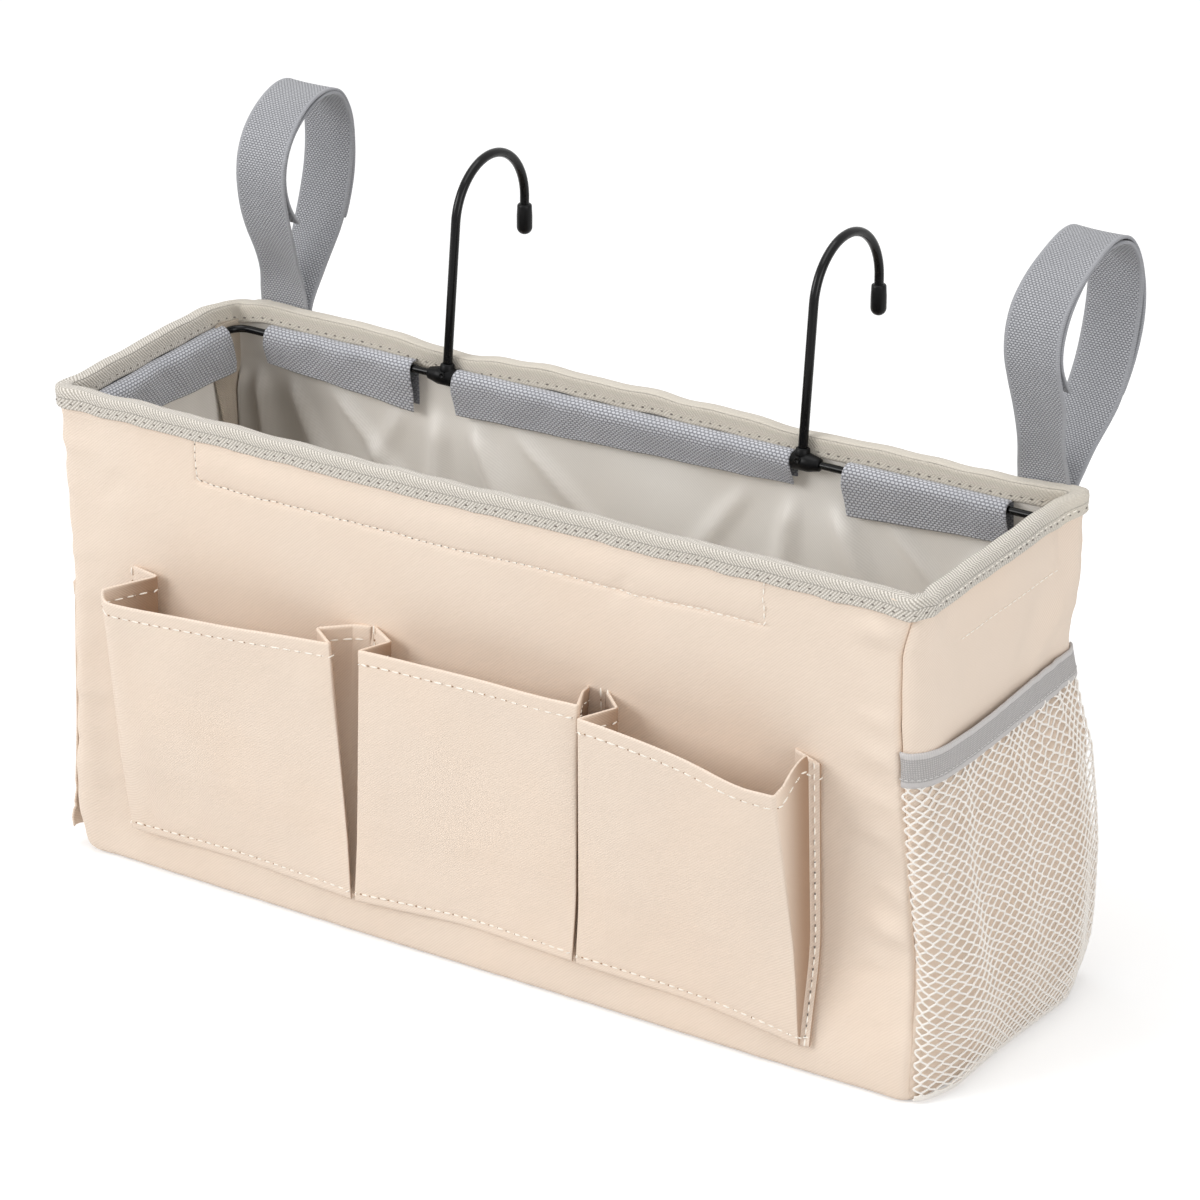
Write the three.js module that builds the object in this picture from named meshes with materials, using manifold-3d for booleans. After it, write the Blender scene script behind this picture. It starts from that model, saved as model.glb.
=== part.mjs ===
// A fabric bedside caddy: a stiffened open box with a bound rim, a wire frame held round the
// mouth in peel-open sleeves, two hooks that pivot on the frame, two webbing loops behind,
// three pleated pockets in front, a net pocket on one end and a flat pocket on the other.
// Units are millimetres. +X runs along the box, -Y is the pocket side, +Z is up, and the
// origin is the centre of the base.
import * as THREE from 'three';
import { mergeVertices } from 'three/addons/utils/BufferGeometryUtils.js';
import Module from 'manifold-3d';

const wasm = await Module();
wasm.setup();

// Overall size, measured over the rim binding
const LENGTH = 400;
const DEPTH = 118;
const HEIGHT = 205;
const CORNER_RADIUS = 9;
const SEAT_GAP = 0.3;
const CUT_OVERRUN = 2;

// Wall build-up, from the outside in
const SHELL_THICKNESS = 0.8;
const BOARD_THICKNESS = 2;
const LINING_THICKNESS = 0.6;
const BOTTOM_TURN_RADIUS = 5;

// Rim binding and corner tapes
const BINDING_THICKNESS = 0.8;
const BINDING_HEIGHT = 8;
const BINDING_ROUND = 2;
const RIM_EASE = 1;
const CORNER_TAPE_WIDTH = 5;
const CORNER_TAPE_THICKNESS = 1.6;

// Wire frame and the sleeves that hold it
const ROD_DIAMETER = 3.2;
const ROD_INSET = 4.9;
const ROD_BELOW_BINDING = 3;
const ROD_BEND_RADIUS = 7;
const SLEEVE_THICKNESS = 0.7;
const SLEEVE_HEIGHT = 19.8;
const SLEEVE_LIP = 1.8;
const SLEEVE_TUCK = 2;
const GRIP_TAPE_THICKNESS = 0.7;
const GRIP_TAPE_HEIGHT = 19.2;
const END_SLEEVE_LENGTH = 80;
const FRONT_SLEEVE_LENGTH = 263;
const REAR_OUTER_SLEEVE_LENGTH = 71;

// Hooks, hubs and caps
const HOOK_SPACING = 166.6;
const HOOK_CENTRE_X = -2;
const HOOK_WIRE_DIAMETER = 3.8;
const HOOK_LEAN_DEG = 8.8;
const HOOK_BEND_RADIUS = 24.5;
const HOOK_STEM_LENGTH = 61;
const HOOK_TURN_DEG = 176;
const HOOK_TAIL = 11;
const HUB_RADIUS = 3.7;
const HUB_LENGTH = 8;
const HUB_CONE_LENGTH = 4.5;
const HUB_SOCKET_HEIGHT = 5.4;
const HUB_SOCKET_WALL = 0.8;
const HUB_WEB = 0.9;
const CAP_DIAMETER = 6.4;
const CAP_LENGTH = 13;
const CAP_END_WALL = 2.2;
const CAP_LIP = 0.6;
const HUB_TO_SLEEVE = 0.7;
const HOOK_TO_LEFT_SLEEVE = 17;
const HOOK_TO_RIGHT_SLEEVE = 20.5;

// Webbing loops
const WEBBING_WIDTH = 23;
const WEBBING_THICKNESS = 1.3;
const STRAP_LEFT_X = -172.6;
const STRAP_RIGHT_X = 182.6;
const STRAP_ROOT_HEIGHT = 25;
const STRAP_LOOP_HEIGHT = 95;
const STRAP_LOOP_DEPTH_LEFT = 49;
const STRAP_LOOP_DEPTH_RIGHT = 65;
const STRAP_FORWARD_BULGE_DEPTH = 12.5;
const OUTER_BAND_END_SHARE = 0.75;
const INNER_BAND_START_SHARE = 0.225;
// A loop's line from its root up the front, over and down the back: how much of the way back
// to the root's face a place lies, then shares of the loop's depth and of its height
const loopPlaceShares = [
  [1, 0, 0.08],
  [0.94, 0, 0.2],
  [0.5, 0, 0.38],
  [0, 0, 0.585],
  [0, 0, 0.755],
  [0, 0.145, 0.895],
  [0, 0.4, 0.985],
  [0, 0.65, 1],
  [0, 0.87, 0.925],
  [0, 0.99, 0.78],
  [0, 0.965, 0.61],
  [0, 0.83, 0.41],
  [0, 0.6, 0.26],
  [0, 0.385, 0.155],
];

// Front pockets
const POCKET_WIDTH = 107;
const POCKET_ROW_START_X = -168;
const POCKET_BOTTOM_Z = 14.5;
const POCKET_TOP_Z = 132;
const POCKET_CLOTH = 0.9;
const POCKET_PROUD_DEPTH = 26;
const PLEAT_DEPTH = 17;
const POCKET_FOOT_DEPTH = 4.3;
const POCKET_SPREAD_DEPTH = 10;
const POCKET_DROOP_DEPTH = 7;
const POCKET_FLAT_SHARE = 0.4;
// A pocket's mouth at its left side and then its right: where the pleat's crease and its front
// corner lie, as shares of the pleat's depth across and of the proud distance outwards
const pocketMouthShares = {
  left: { crease: [0.8, 0.2], corner: [-0.02, 0.92], farCrease: [1, 0.5], farCorner: [0.3, 0.86] },
  middle: { crease: [0.8, 0.33], corner: [0.42, 0.8], farCrease: [0.75, 0.42], farCorner: [0.08, 1] },
  right: { crease: [1, 0.36], corner: [0.1, 1], farCrease: [0.45, 0.47], farCorner: [0.04, 1.12] },
};

// Flat pocket on the left end
const END_POCKET_BOTTOM_Z = 15;
const END_POCKET_TOP_Z = 118;
const END_POCKET_BULGE_DEPTH = 9;
const END_POCKET_CLOTH = 0.9;
// Shares of the flat pocket's height, and of its bulge there
const endPocketRowShares = [[0, 0.45], [0.15, 0.9], [0.5, 1], [1, 0.8]];

// Net pocket on the right end
const ELASTIC_TOP_Z = 140;
const ELASTIC_HEIGHT = 12;
const ELASTIC_THICKNESS = 1.2;
const NET_BOTTOM_Z = 1;
const NET_BULGE_DEPTH = 18;
const NET_CORD = 1.3;
const NET_SHEET_THICKNESS = 0.8;
const NET_COLUMNS = 11;
const NET_ROWS = 9;
const NET_BORDER = 2.2;
const END_SEAM_BEARING_DEG = 40;
// How high the net swells fullest, and how much of its bulge it has at foot and mouth
const NET_FULL_SHARE = 0.5;
const NET_FOOT_SHARE = 0.25;
const NET_MOUTH_SHARE = 0.6;

// Facet counts
const CORNER_STEPS = 5;
const ROD_SIDES = 10;
const HOOK_SIDES = 12;
const HOOK_BEND_STEPS = 20;
const ROUND_SIDES = 24;
const STRAP_STEPS = 40;
const END_POCKET_STOPS = 17;
const POCKET_RINGS = 5;
const MITRE_LIMIT = 10;

const halfTurn = Math.PI;
const quarterTurn = Math.PI / 2;
const radians = THREE.MathUtils.degToRad;
const lerp = THREE.MathUtils.lerp;

// Places worked out from the sizes above. "Face" values are distances from the box's centre.
const rimStandOff = BINDING_THICKNESS + SEAT_GAP;
const shellHalf = { x: LENGTH / 2 - rimStandOff, y: DEPTH / 2 - rimStandOff };
const shellCorner = CORNER_RADIUS - rimStandOff;
const boardOuter = SHELL_THICKNESS + SEAT_GAP;
const boardInner = boardOuter + BOARD_THICKNESS;
const liningOuter = boardInner + SEAT_GAP;
const wallThickness = liningOuter + LINING_THICKNESS;
const wallTopZ = HEIGHT - BINDING_THICKNESS - RIM_EASE;
const bindingLowZ = HEIGHT - BINDING_HEIGHT;
const liningHalf = { x: shellHalf.x - wallThickness, y: shellHalf.y - wallThickness };
const rodRadius = ROD_DIAMETER / 2;
const rodZ = bindingLowZ - ROD_BELOW_BINDING;
const rodHalf = { x: liningHalf.x - ROD_INSET, y: liningHalf.y - ROD_INSET };
const wireRadius = HOOK_WIRE_DIAMETER / 2;
const baseBoardLowZ = SHELL_THICKNESS + SEAT_GAP;
const liningFloorLowZ = baseBoardLowZ + BOARD_THICKNESS + SEAT_GAP;
const liningFloorTopZ = liningFloorLowZ + LINING_THICKNESS;

const caddy = new THREE.Group();
caddy.name = 'bedside_caddy';

// Finishes, taken by eye from the object
const finishes = {
  shellCloth: { color: 0xebdaca, roughness: 0.75, metalness: 0 },
  board: { color: 0xe6e4de, roughness: 0.6, metalness: 0 },
  lining: { color: 0xbebbb6, roughness: 0.55, metalness: 0 },
  binding: { color: 0xd2cec8, roughness: 0.9, metalness: 0 },
  sleeve: { color: 0x9698a0, roughness: 0.9, metalness: 0 },
  gripTape: { color: 0x8a8c93, roughness: 0.95, metalness: 0 },
  blackWire: { color: 0x141416, roughness: 0.3, metalness: 0.4 },
  blackRubber: { color: 0x18181a, roughness: 0.6, metalness: 0 },
  webbing: { color: 0x9c9ea3, roughness: 0.85, metalness: 0 },
  elastic: { color: 0xa5a5a7, roughness: 0.85, metalness: 0 },
  netYarn: { color: 0xe6dbd0, roughness: 0.8, metalness: 0 },
};

function addPiece(name, geometry, finish) {
  const piece = new THREE.Mesh(geometry, new THREE.MeshStandardMaterial(finishes[finish]));
  piece.name = name;
  caddy.add(piece);
  return piece;
}

// Turns a mesh's faces outwards if its volume comes out negative
function facingOut(positions, triangles) {
  let volume = 0;
  const corner = (index) => positions[index];
  for (const [a, b, c] of triangles) {
    volume += corner(a).dot(corner(b).clone().cross(corner(c)));
  }
  const ordered = volume < 0 ? triangles.map(([a, b, c]) => [a, c, b]) : triangles;
  const geometry = new THREE.BufferGeometry();
  geometry.setFromPoints(positions);
  geometry.setIndex(ordered.flat());
  geometry.computeVertexNormals();
  return geometry;
}

// Joins equal rings of points into a skin, closed on itself or capped at both ends
function skinRings(rings, closed, capOutline) {
  const count = rings[0].length;
  const triangles = [];
  const spans = closed ? rings.length : rings.length - 1;
  for (let ring = 0; ring < spans; ring += 1) {
    const here = ring * count;
    const there = ((ring + 1) % rings.length) * count;
    for (let point = 0; point < count; point += 1) {
      const next = (point + 1) % count;
      triangles.push([here + point, here + next, there + next]);
      triangles.push([here + point, there + next, there + point]);
    }
  }
  if (!closed) {
    const last = (rings.length - 1) * count;
    const firstCap = THREE.ShapeUtils.triangulateShape(capOutline.first, []);
    const lastCap = THREE.ShapeUtils.triangulateShape(capOutline.last, []);
    for (const [a, b, c] of firstCap) triangles.push(orderCap(capOutline.first, [a, b, c], true));
    for (const [a, b, c] of lastCap) {
      const [p, q, r] = orderCap(capOutline.last, [a, b, c], false);
      triangles.push([last + p, last + q, last + r]);
    }
  }
  return facingOut(rings.flat(), triangles);
}

// A cap's triangle runs with its outline at the last ring and against it at the first
function orderCap(outline, [a, b, c], reversed) {
  const turn = THREE.ShapeUtils.area([outline[a], outline[b], outline[c]]);
  const withOutline = Math.sign(turn) === Math.sign(THREE.ShapeUtils.area(outline));
  return withOutline !== reversed ? [a, b, c] : [a, c, b];
}

// Carries one outline along a path; each stop says where it is and which ways across and up run
function sweepOutline(outline, stops, closed = false) {
  const rings = stops.map(({ at, across, up }) =>
    outline.map((point) => at.clone().addScaledVector(across, point.x).addScaledVector(up, point.y)));
  return skinRings(rings, closed, { first: outline, last: outline });
}

// Gives a line of points a thickness. A sharp fold is mitred inside and blunted outside, and
// no mitre is longer than MITRE_LIMIT thicknesses.
function thickLine(points, thickness) {
  const half = thickness / 2;
  const left = [];
  const right = [];
  points.forEach((point, index) => {
    const before = points[Math.max(index - 1, 0)];
    const after = points[Math.min(index + 1, points.length - 1)];
    const from = index > 0 ? point.clone().sub(before) : after.clone().sub(point);
    const into = from.normalize();
    const out = index < points.length - 1 ? after.clone().sub(point).normalize() : into.clone();
    const side = new THREE.Vector2(-into.y - out.y, into.x + out.x);
    if (side.length() === 0) side.set(-into.y, into.x);
    side.normalize();
    const square = side.dot(new THREE.Vector2(-into.y, into.x));
    const mitre = Math.min(half / Math.max(square, Number.EPSILON), MITRE_LIMIT * thickness);
    const turnsLeft = into.cross(out) > 0;
    const blunt = Math.min(mitre, thickness);
    left.push(point.clone().addScaledVector(side, turnsLeft ? mitre : blunt));
    right.push(point.clone().addScaledVector(side, turnsLeft ? -blunt : -mitre));
  });
  return [...left, ...right.reverse()];
}

function circleOutline(radius, sides) {
  return Array.from({ length: sides }, (_, index) => {
    const angle = (2 * halfTurn * index) / sides;
    return new THREE.Vector2(radius * Math.cos(angle), radius * Math.sin(angle));
  });
}

function arcPoints(centreA, centreB, radius, fromDeg, toDeg, steps) {
  return Array.from({ length: steps + 1 }, (_, index) => {
    const angle = radians(lerp(fromDeg, toDeg, index / steps));
    return new THREE.Vector2(centreA + radius * Math.cos(angle), centreB + radius * Math.sin(angle));
  });
}

const upward = new THREE.Vector3(0, 0, 1);

// Stops round a rectangle with round corners, seen from above, from one bearing to another
function rimStops(half, radius, fromDeg, toDeg, z = 0) {
  const corners = [[1, 1], [-1, 1], [-1, -1], [1, -1], [1, 1], [-1, 1]];
  const stops = [];
  for (const [index, [signX, signY]] of corners.entries()) {
    const startDeg = index * 90;
    const begin = Math.max(startDeg, fromDeg);
    const end = Math.min(startDeg + 90, toDeg);
    if (end <= begin) continue;
    const steps = Math.max(1, Math.round(((end - begin) / 90) * CORNER_STEPS));
    for (let step = 0; step <= steps; step += 1) {
      const angle = radians(lerp(begin, end, step / steps));
      const across = new THREE.Vector3(Math.cos(angle), Math.sin(angle), 0);
      const at = new THREE.Vector3(signX * (half.x - radius), signY * (half.y - radius), z);
      stops.push({ at: at.addScaledVector(across, radius), across, up: upward });
    }
  }
  return stops;
}

function fullRimStops(half, radius, z = 0) {
  return rimStops(half, radius, 0, 360, z);
}

const alongX = new THREE.Vector3(1, 0, 0);
const alongY = new THREE.Vector3(0, 1, 0);

// The four walls, each with the bearings of its two corner seams
const walls = {
  front: { from: 225, to: 315, outward: alongY.clone().negate(), along: alongX },
  back: { from: 45, to: 135, outward: alongY, along: alongX },
  left_end: { from: 135, to: 225, outward: alongX.clone().negate(), along: alongY },
  right_end: { from: 315, to: 405, outward: alongX, along: alongY },
};

function wallFace(wall, half) {
  return wall.along === alongX ? half.y : half.x;
}

// A wall of cloth swept between its two corner seams. In its outline, X runs outwards from the
// shell's face, so a layer behind that face has negative X.
function clothWall(wall, outline, tightestRadius) {
  const seamDeg = THREE.MathUtils.radToDeg(SEAT_GAP / 2 / tightestRadius);
  return sweepOutline(outline, rimStops(shellHalf, shellCorner, wall.from + seamDeg, wall.to - seamDeg));
}

// A plate with round corners, lying flat
function floorPlate(inset, lowZ, thickness) {
  const radius = Math.max(shellCorner - inset, SEAT_GAP);
  const half = { x: shellHalf.x - inset, y: shellHalf.y - inset };
  const outline = fullRimStops(half, radius).map(({ at }) => new THREE.Vector2(at.x, at.y));
  const shape = new THREE.Shape(outline);
  const geometry = new THREE.ExtrudeGeometry(shape, { depth: thickness, bevelEnabled: false });
  geometry.translate(0, 0, lowZ);
  return geometry;
}

// Outer shell
function shellWallOutline() {
  const mid = SHELL_THICKNESS / 2;
  const turn = BOTTOM_TURN_RADIUS;
  const curve = arcPoints(-turn, turn, turn - mid, 0, -90, CORNER_STEPS);
  return thickLine([new THREE.Vector2(-mid, wallTopZ), ...curve], SHELL_THICKNESS);
}
for (const [name, wall] of Object.entries(walls)) {
  const tightest = shellCorner - BOTTOM_TURN_RADIUS;
  addPiece(`shell_${name}`, clothWall(wall, shellWallOutline(), tightest), 'shellCloth');
}
addPiece('shell_bottom', floorPlate(BOTTOM_TURN_RADIUS + SEAT_GAP, 0, SHELL_THICKNESS), 'shellCloth');

// Stiffening boards, flat plates that stop short of the corners
function boardGeometry(wall) {
  const isLong = wall.along === alongX;
  const straight = 2 * (isLong ? shellHalf.x : shellHalf.y) - 2 * shellCorner;
  const height = wallTopZ - BOTTOM_TURN_RADIUS;
  const size = isLong ? [straight, BOARD_THICKNESS, height] : [BOARD_THICKNESS, straight, height];
  const geometry = new THREE.BoxGeometry(...size);
  const offset = wallFace(wall, shellHalf) - boardOuter - BOARD_THICKNESS / 2;
  const at = wall.outward.clone().multiplyScalar(offset);
  geometry.translate(at.x, at.y, BOTTOM_TURN_RADIUS + height / 2);
  return geometry;
}
for (const [name, wall] of Object.entries(walls)) {
  addPiece(`board_${name}`, boardGeometry(wall), 'board');
}
addPiece('board_base', floorPlate(BOTTOM_TURN_RADIUS + SEAT_GAP, baseBoardLowZ, BOARD_THICKNESS), 'board');

// Lining
function liningWallOutline() {
  const mid = -liningOuter - LINING_THICKNESS / 2;
  const low = liningFloorTopZ + SEAT_GAP;
  return thickLine([new THREE.Vector2(mid, wallTopZ), new THREE.Vector2(mid, low)], LINING_THICKNESS);
}
for (const [name, wall] of Object.entries(walls)) {
  const tightest = shellCorner - wallThickness;
  addPiece(`lining_${name}`, clothWall(wall, liningWallOutline(), tightest), 'lining');
}
addPiece('lining_floor', floorPlate(liningOuter, liningFloorLowZ, LINING_THICKNESS), 'lining');

// Rim binding, one tape folded over the wall's edge all the way round
function bindingOutline() {
  const mid = BINDING_THICKNESS / 2;
  const outer = SEAT_GAP + mid;
  const inner = -wallThickness - SEAT_GAP - mid;
  const round = BINDING_ROUND - mid;
  const topCentreZ = HEIGHT - BINDING_ROUND;
  return thickLine([
    new THREE.Vector2(outer, bindingLowZ),
    ...arcPoints(outer - round, topCentreZ, round, 0, 90, CORNER_STEPS - 1),
    ...arcPoints(inner + round, topCentreZ, round, 90, 180, CORNER_STEPS - 1),
    new THREE.Vector2(inner, bindingLowZ),
  ], BINDING_THICKNESS);
}
const rimLine = fullRimStops(shellHalf, shellCorner);
addPiece('rim_binding', sweepOutline(bindingOutline(), rimLine, true), 'binding');

// Corner tapes over the raw seams inside, each standing on a corner's diagonal
function cornerTape(signX, signY) {
  const radius = shellCorner - wallThickness;
  const root = radius - SEAT_GAP;
  const height = bindingLowZ - 2 * SEAT_GAP - liningFloorTopZ;
  const geometry = new THREE.BoxGeometry(CORNER_TAPE_WIDTH, CORNER_TAPE_THICKNESS, height);
  geometry.translate(root - CORNER_TAPE_WIDTH / 2, 0, 0);
  geometry.rotateZ(Math.atan2(signY, signX));
  const centreX = signX * (liningHalf.x - radius);
  const centreY = signY * (liningHalf.y - radius);
  geometry.translate(centreX, centreY, liningFloorTopZ + SEAT_GAP + height / 2);
  return geometry;
}
const cornerNames = { front_left: [-1, -1], front_right: [1, -1], rear_left: [-1, 1], rear_right: [1, 1] };
for (const [name, [signX, signY]] of Object.entries(cornerNames)) {
  addPiece(`corner_tape_${name}`, cornerTape(signX, signY), 'binding');
}

// Wire frame, one rod bent into a ring
const rodStops = fullRimStops(rodHalf, ROD_BEND_RADIUS, rodZ);
addPiece('wire_frame', sweepOutline(circleOutline(rodRadius, ROD_SIDES), rodStops, true), 'blackWire');

// Sleeves: each hangs from its seam under the binding, wraps the rod and closes on a grip tape.
// In their outlines, X runs outwards from the lining's face, so they have negative X.
const sleeveMid = SLEEVE_THICKNESS / 2;
const sleeveWrapRadius = rodRadius + SEAT_GAP + sleeveMid;
const sleeveRootInset = BINDING_THICKNESS + 2 * SEAT_GAP + sleeveMid + GRIP_TAPE_THICKNESS / 2;
const sleeveLipInset = 2 * SEAT_GAP + GRIP_TAPE_THICKNESS + sleeveMid;
const sleeveLowZ = bindingLowZ - SLEEVE_HEIGHT;

function sleeveOutline() {
  const rodCentre = new THREE.Vector2(-ROD_INSET, rodZ);
  return thickLine([
    new THREE.Vector2(-sleeveRootInset, rodZ + sleeveWrapRadius),
    ...arcPoints(rodCentre.x, rodCentre.y, sleeveWrapRadius, 90, 200, CORNER_STEPS + 1),
    new THREE.Vector2(-sleeveLipInset - SLEEVE_THICKNESS, sleeveLowZ + SLEEVE_LIP + SLEEVE_TUCK),
    new THREE.Vector2(-sleeveLipInset, sleeveLowZ + SLEEVE_LIP),
    new THREE.Vector2(-sleeveLipInset, sleeveLowZ),
  ], SLEEVE_THICKNESS);
}

function gripTapeOutline() {
  const mid = -SEAT_GAP - GRIP_TAPE_THICKNESS / 2;
  const topZ = bindingLowZ - 2 * SEAT_GAP;
  const lowZ = topZ - GRIP_TAPE_HEIGHT;
  return thickLine([new THREE.Vector2(mid, topZ), new THREE.Vector2(mid, lowZ)], GRIP_TAPE_THICKNESS);
}

function alongWall(wall, outline, from, to) {
  const start = wall.outward.clone().multiplyScalar(wallFace(wall, liningHalf));
  const stops = [from, to].map((distance) => {
    const at = start.clone().addScaledVector(wall.along, distance);
    return { at, across: wall.outward, up: upward };
  });
  return sweepOutline(outline, stops);
}

const hookX = { left: HOOK_CENTRE_X - HOOK_SPACING / 2, right: HOOK_CENTRE_X + HOOK_SPACING / 2 };
const middleSleeveHalf = HOOK_SPACING / 2 - HUB_LENGTH / 2 - HUB_TO_SLEEVE;
const leftSleeveEndX = hookX.left - HOOK_TO_LEFT_SLEEVE;
const rightSleeveStartX = hookX.right + HOOK_TO_RIGHT_SLEEVE;
const sleeves = {
  rear_left: [walls.back, leftSleeveEndX - REAR_OUTER_SLEEVE_LENGTH, leftSleeveEndX],
  rear_middle: [walls.back, HOOK_CENTRE_X - middleSleeveHalf, HOOK_CENTRE_X + middleSleeveHalf],
  rear_right: [walls.back, rightSleeveStartX, rightSleeveStartX + REAR_OUTER_SLEEVE_LENGTH],
  left_end: [walls.left_end, -END_SLEEVE_LENGTH / 2, END_SLEEVE_LENGTH / 2],
  right_end: [walls.right_end, -END_SLEEVE_LENGTH / 2, END_SLEEVE_LENGTH / 2],
  front: [walls.front, -FRONT_SLEEVE_LENGTH / 2, FRONT_SLEEVE_LENGTH / 2],
};
for (const [name, [wall, from, to]] of Object.entries(sleeves)) {
  addPiece(`sleeve_${name}`, alongWall(wall, sleeveOutline(), from, to), 'sleeve');
  addPiece(`grip_tape_${name}`, alongWall(wall, gripTapeOutline(), from, to), 'gripTape');
}

// Hooks. The wire leaves the hub leaning back against the rim, bends over and ends in a cap.
const rodY = rodHalf.y;
const lean = radians(HOOK_LEAN_DEG);
const stemFootHeight = rodRadius + SEAT_GAP + HUB_WEB;

function hookLine(x) {
  const rise = new THREE.Vector3(0, Math.sin(lean), Math.cos(lean));
  const back = new THREE.Vector3(0, Math.cos(lean), -Math.sin(lean));
  const axis = new THREE.Vector3(x, rodY, rodZ);
  const bendCentre = axis.clone().addScaledVector(rise, HOOK_STEM_LENGTH);
  bendCentre.addScaledVector(back, HOOK_BEND_RADIUS);
  const stops = [{ at: axis.clone().addScaledVector(rise, stemFootHeight), up: back.clone() }];
  for (let step = 0; step <= HOOK_BEND_STEPS; step += 1) {
    const angle = radians((HOOK_TURN_DEG * step) / HOOK_BEND_STEPS);
    const inward = back.clone().multiplyScalar(Math.cos(angle));
    inward.addScaledVector(rise, -Math.sin(angle));
    stops.push({ at: bendCentre.clone().addScaledVector(inward, -HOOK_BEND_RADIUS), up: inward });
  }
  const last = stops[stops.length - 1];
  const onward = alongX.clone().cross(last.up);
  stops.push({ at: last.at.clone().addScaledVector(onward, HOOK_TAIL), up: last.up });
  for (const stop of stops) stop.across = alongX;
  return { stops, tip: stops[stops.length - 1].at, onward };
}

function solidOf(geometry) {
  const bare = geometry.clone();
  bare.deleteAttribute('normal');
  bare.deleteAttribute('uv');
  const merged = mergeVertices(bare);
  return new wasm.Manifold(new wasm.Mesh({
    numProp: 3,
    vertProperties: new Float32Array(merged.attributes.position.array),
    triVerts: new Uint32Array(merged.index.array),
  }));
}

function geometryOf(solid) {
  const mesh = solid.getMesh();
  const geometry = new THREE.BufferGeometry();
  geometry.setAttribute('position', new THREE.BufferAttribute(new Float32Array(mesh.vertProperties), 3));
  geometry.setIndex(new THREE.BufferAttribute(new Uint32Array(mesh.triVerts), 1));
  geometry.computeVertexNormals();
  return geometry;
}

// A rod between two distances along X, with a radius at each end
function rodAlongX(lowRadius, highRadius, fromX, toX) {
  const rod = new THREE.CylinderGeometry(highRadius, lowRadius, toX - fromX, ROUND_SIDES);
  rod.rotateZ(-quarterTurn);
  rod.translate((fromX + toX) / 2, 0, 0);
  return rod;
}

// Hub: a barrel on the rod, a cone on its outboard side and a socket for the hook's wire
function hubGeometry(x, outboard) {
  const half = HUB_LENGTH / 2;
  const boreRadius = rodRadius + SEAT_GAP;
  const socketRadius = wireRadius + SEAT_GAP;
  const barrel = solidOf(rodAlongX(HUB_RADIUS, HUB_RADIUS, -half, half));
  const coneTip = boreRadius + HUB_SOCKET_WALL;
  const cone = outboard > 0
    ? rodAlongX(HUB_RADIUS, coneTip, half - SEAT_GAP, half + HUB_CONE_LENGTH)
    : rodAlongX(coneTip, HUB_RADIUS, -half - HUB_CONE_LENGTH, SEAT_GAP - half);
  const upright = (radius, from, to) => {
    const post = new THREE.CylinderGeometry(radius, radius, to - from, ROUND_SIDES);
    post.rotateX(quarterTurn);
    post.translate(0, 0, (from + to) / 2);
    post.rotateX(-lean);
    return solidOf(post);
  };
  const socketOuter = upright(socketRadius + HUB_SOCKET_WALL - SEAT_GAP, 0, HUB_SOCKET_HEIGHT);
  const socketBore = upright(socketRadius, stemFootHeight - SEAT_GAP, HUB_SOCKET_HEIGHT + CUT_OVERRUN);
  const reach = half + HUB_CONE_LENGTH + CUT_OVERRUN;
  const rodBore = solidOf(rodAlongX(boreRadius, boreRadius, -reach, reach));
  const hub = barrel.add(solidOf(cone)).add(socketOuter).subtract(rodBore).subtract(socketBore);
  const geometry = geometryOf(hub);
  geometry.translate(x, rodY, rodZ);
  return geometry;
}

// Cap: a round-ended rubber sleeve pushed over the wire's end
function capGeometry(tip, onward) {
  const outer = CAP_DIAMETER / 2;
  const bore = wireRadius + SEAT_GAP;
  const topY = CAP_LENGTH - CAP_END_WALL;
  const round = arcPoints(0, outer - CAP_END_WALL, outer, -90, 0, CORNER_STEPS + 1);
  const profile = [
    ...round,
    new THREE.Vector2(outer, topY - CAP_LIP),
    new THREE.Vector2(outer - CAP_LIP, topY),
    new THREE.Vector2(bore, topY),
    new THREE.Vector2(bore, -SEAT_GAP),
    new THREE.Vector2(0, -SEAT_GAP),
  ];
  profile[0].x = 0;
  const cap = new THREE.LatheGeometry(profile, ROUND_SIDES);
  cap.applyQuaternion(new THREE.Quaternion().setFromUnitVectors(new THREE.Vector3(0, -1, 0), onward));
  cap.translate(tip.x, tip.y, tip.z);
  return cap;
}

for (const [side, x] of Object.entries(hookX)) {
  const { stops, tip, onward } = hookLine(x);
  addPiece(`hub_${side}`, hubGeometry(x, Math.sign(x)), 'blackRubber');
  addPiece(`hook_${side}`, sweepOutline(circleOutline(wireRadius, HOOK_SIDES), stops), 'blackWire');
  addPiece(`hook_cap_${side}`, capGeometry(tip, onward), 'blackRubber');
}

// Webbing loops. The outer band follows the loop's line from the front root, and the inner
// band lies inside it and runs on to the rear root.
const rimBackY = DEPTH / 2;
const strapFrontY = rimBackY + SEAT_GAP + WEBBING_THICKNESS / 2;
const strapPitch = WEBBING_THICKNESS + SEAT_GAP;
const strapBackY = strapFrontY + 2 * strapPitch;

function strapLine(loopDepth) {
  const frontY = rimBackY - STRAP_FORWARD_BULGE_DEPTH + WEBBING_THICKNESS / 2;
  const place = ([rootShare, depthShare, heightShare]) => {
    const y = lerp(frontY, strapFrontY, rootShare) + depthShare * (loopDepth - WEBBING_THICKNESS);
    return new THREE.Vector2(y, bindingLowZ + heightShare * STRAP_LOOP_HEIGHT);
  };
  const points = [
    new THREE.Vector2(strapFrontY, bindingLowZ),
    ...loopPlaceShares.map(place),
    new THREE.Vector2(strapBackY + WEBBING_THICKNESS, HEIGHT + WEBBING_THICKNESS),
    new THREE.Vector2(strapBackY + SEAT_GAP / 2, HEIGHT - BINDING_HEIGHT / 2),
    new THREE.Vector2(strapBackY, bindingLowZ),
  ];
  return new THREE.SplineCurve(points).getSpacedPoints(STRAP_STEPS);
}

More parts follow.
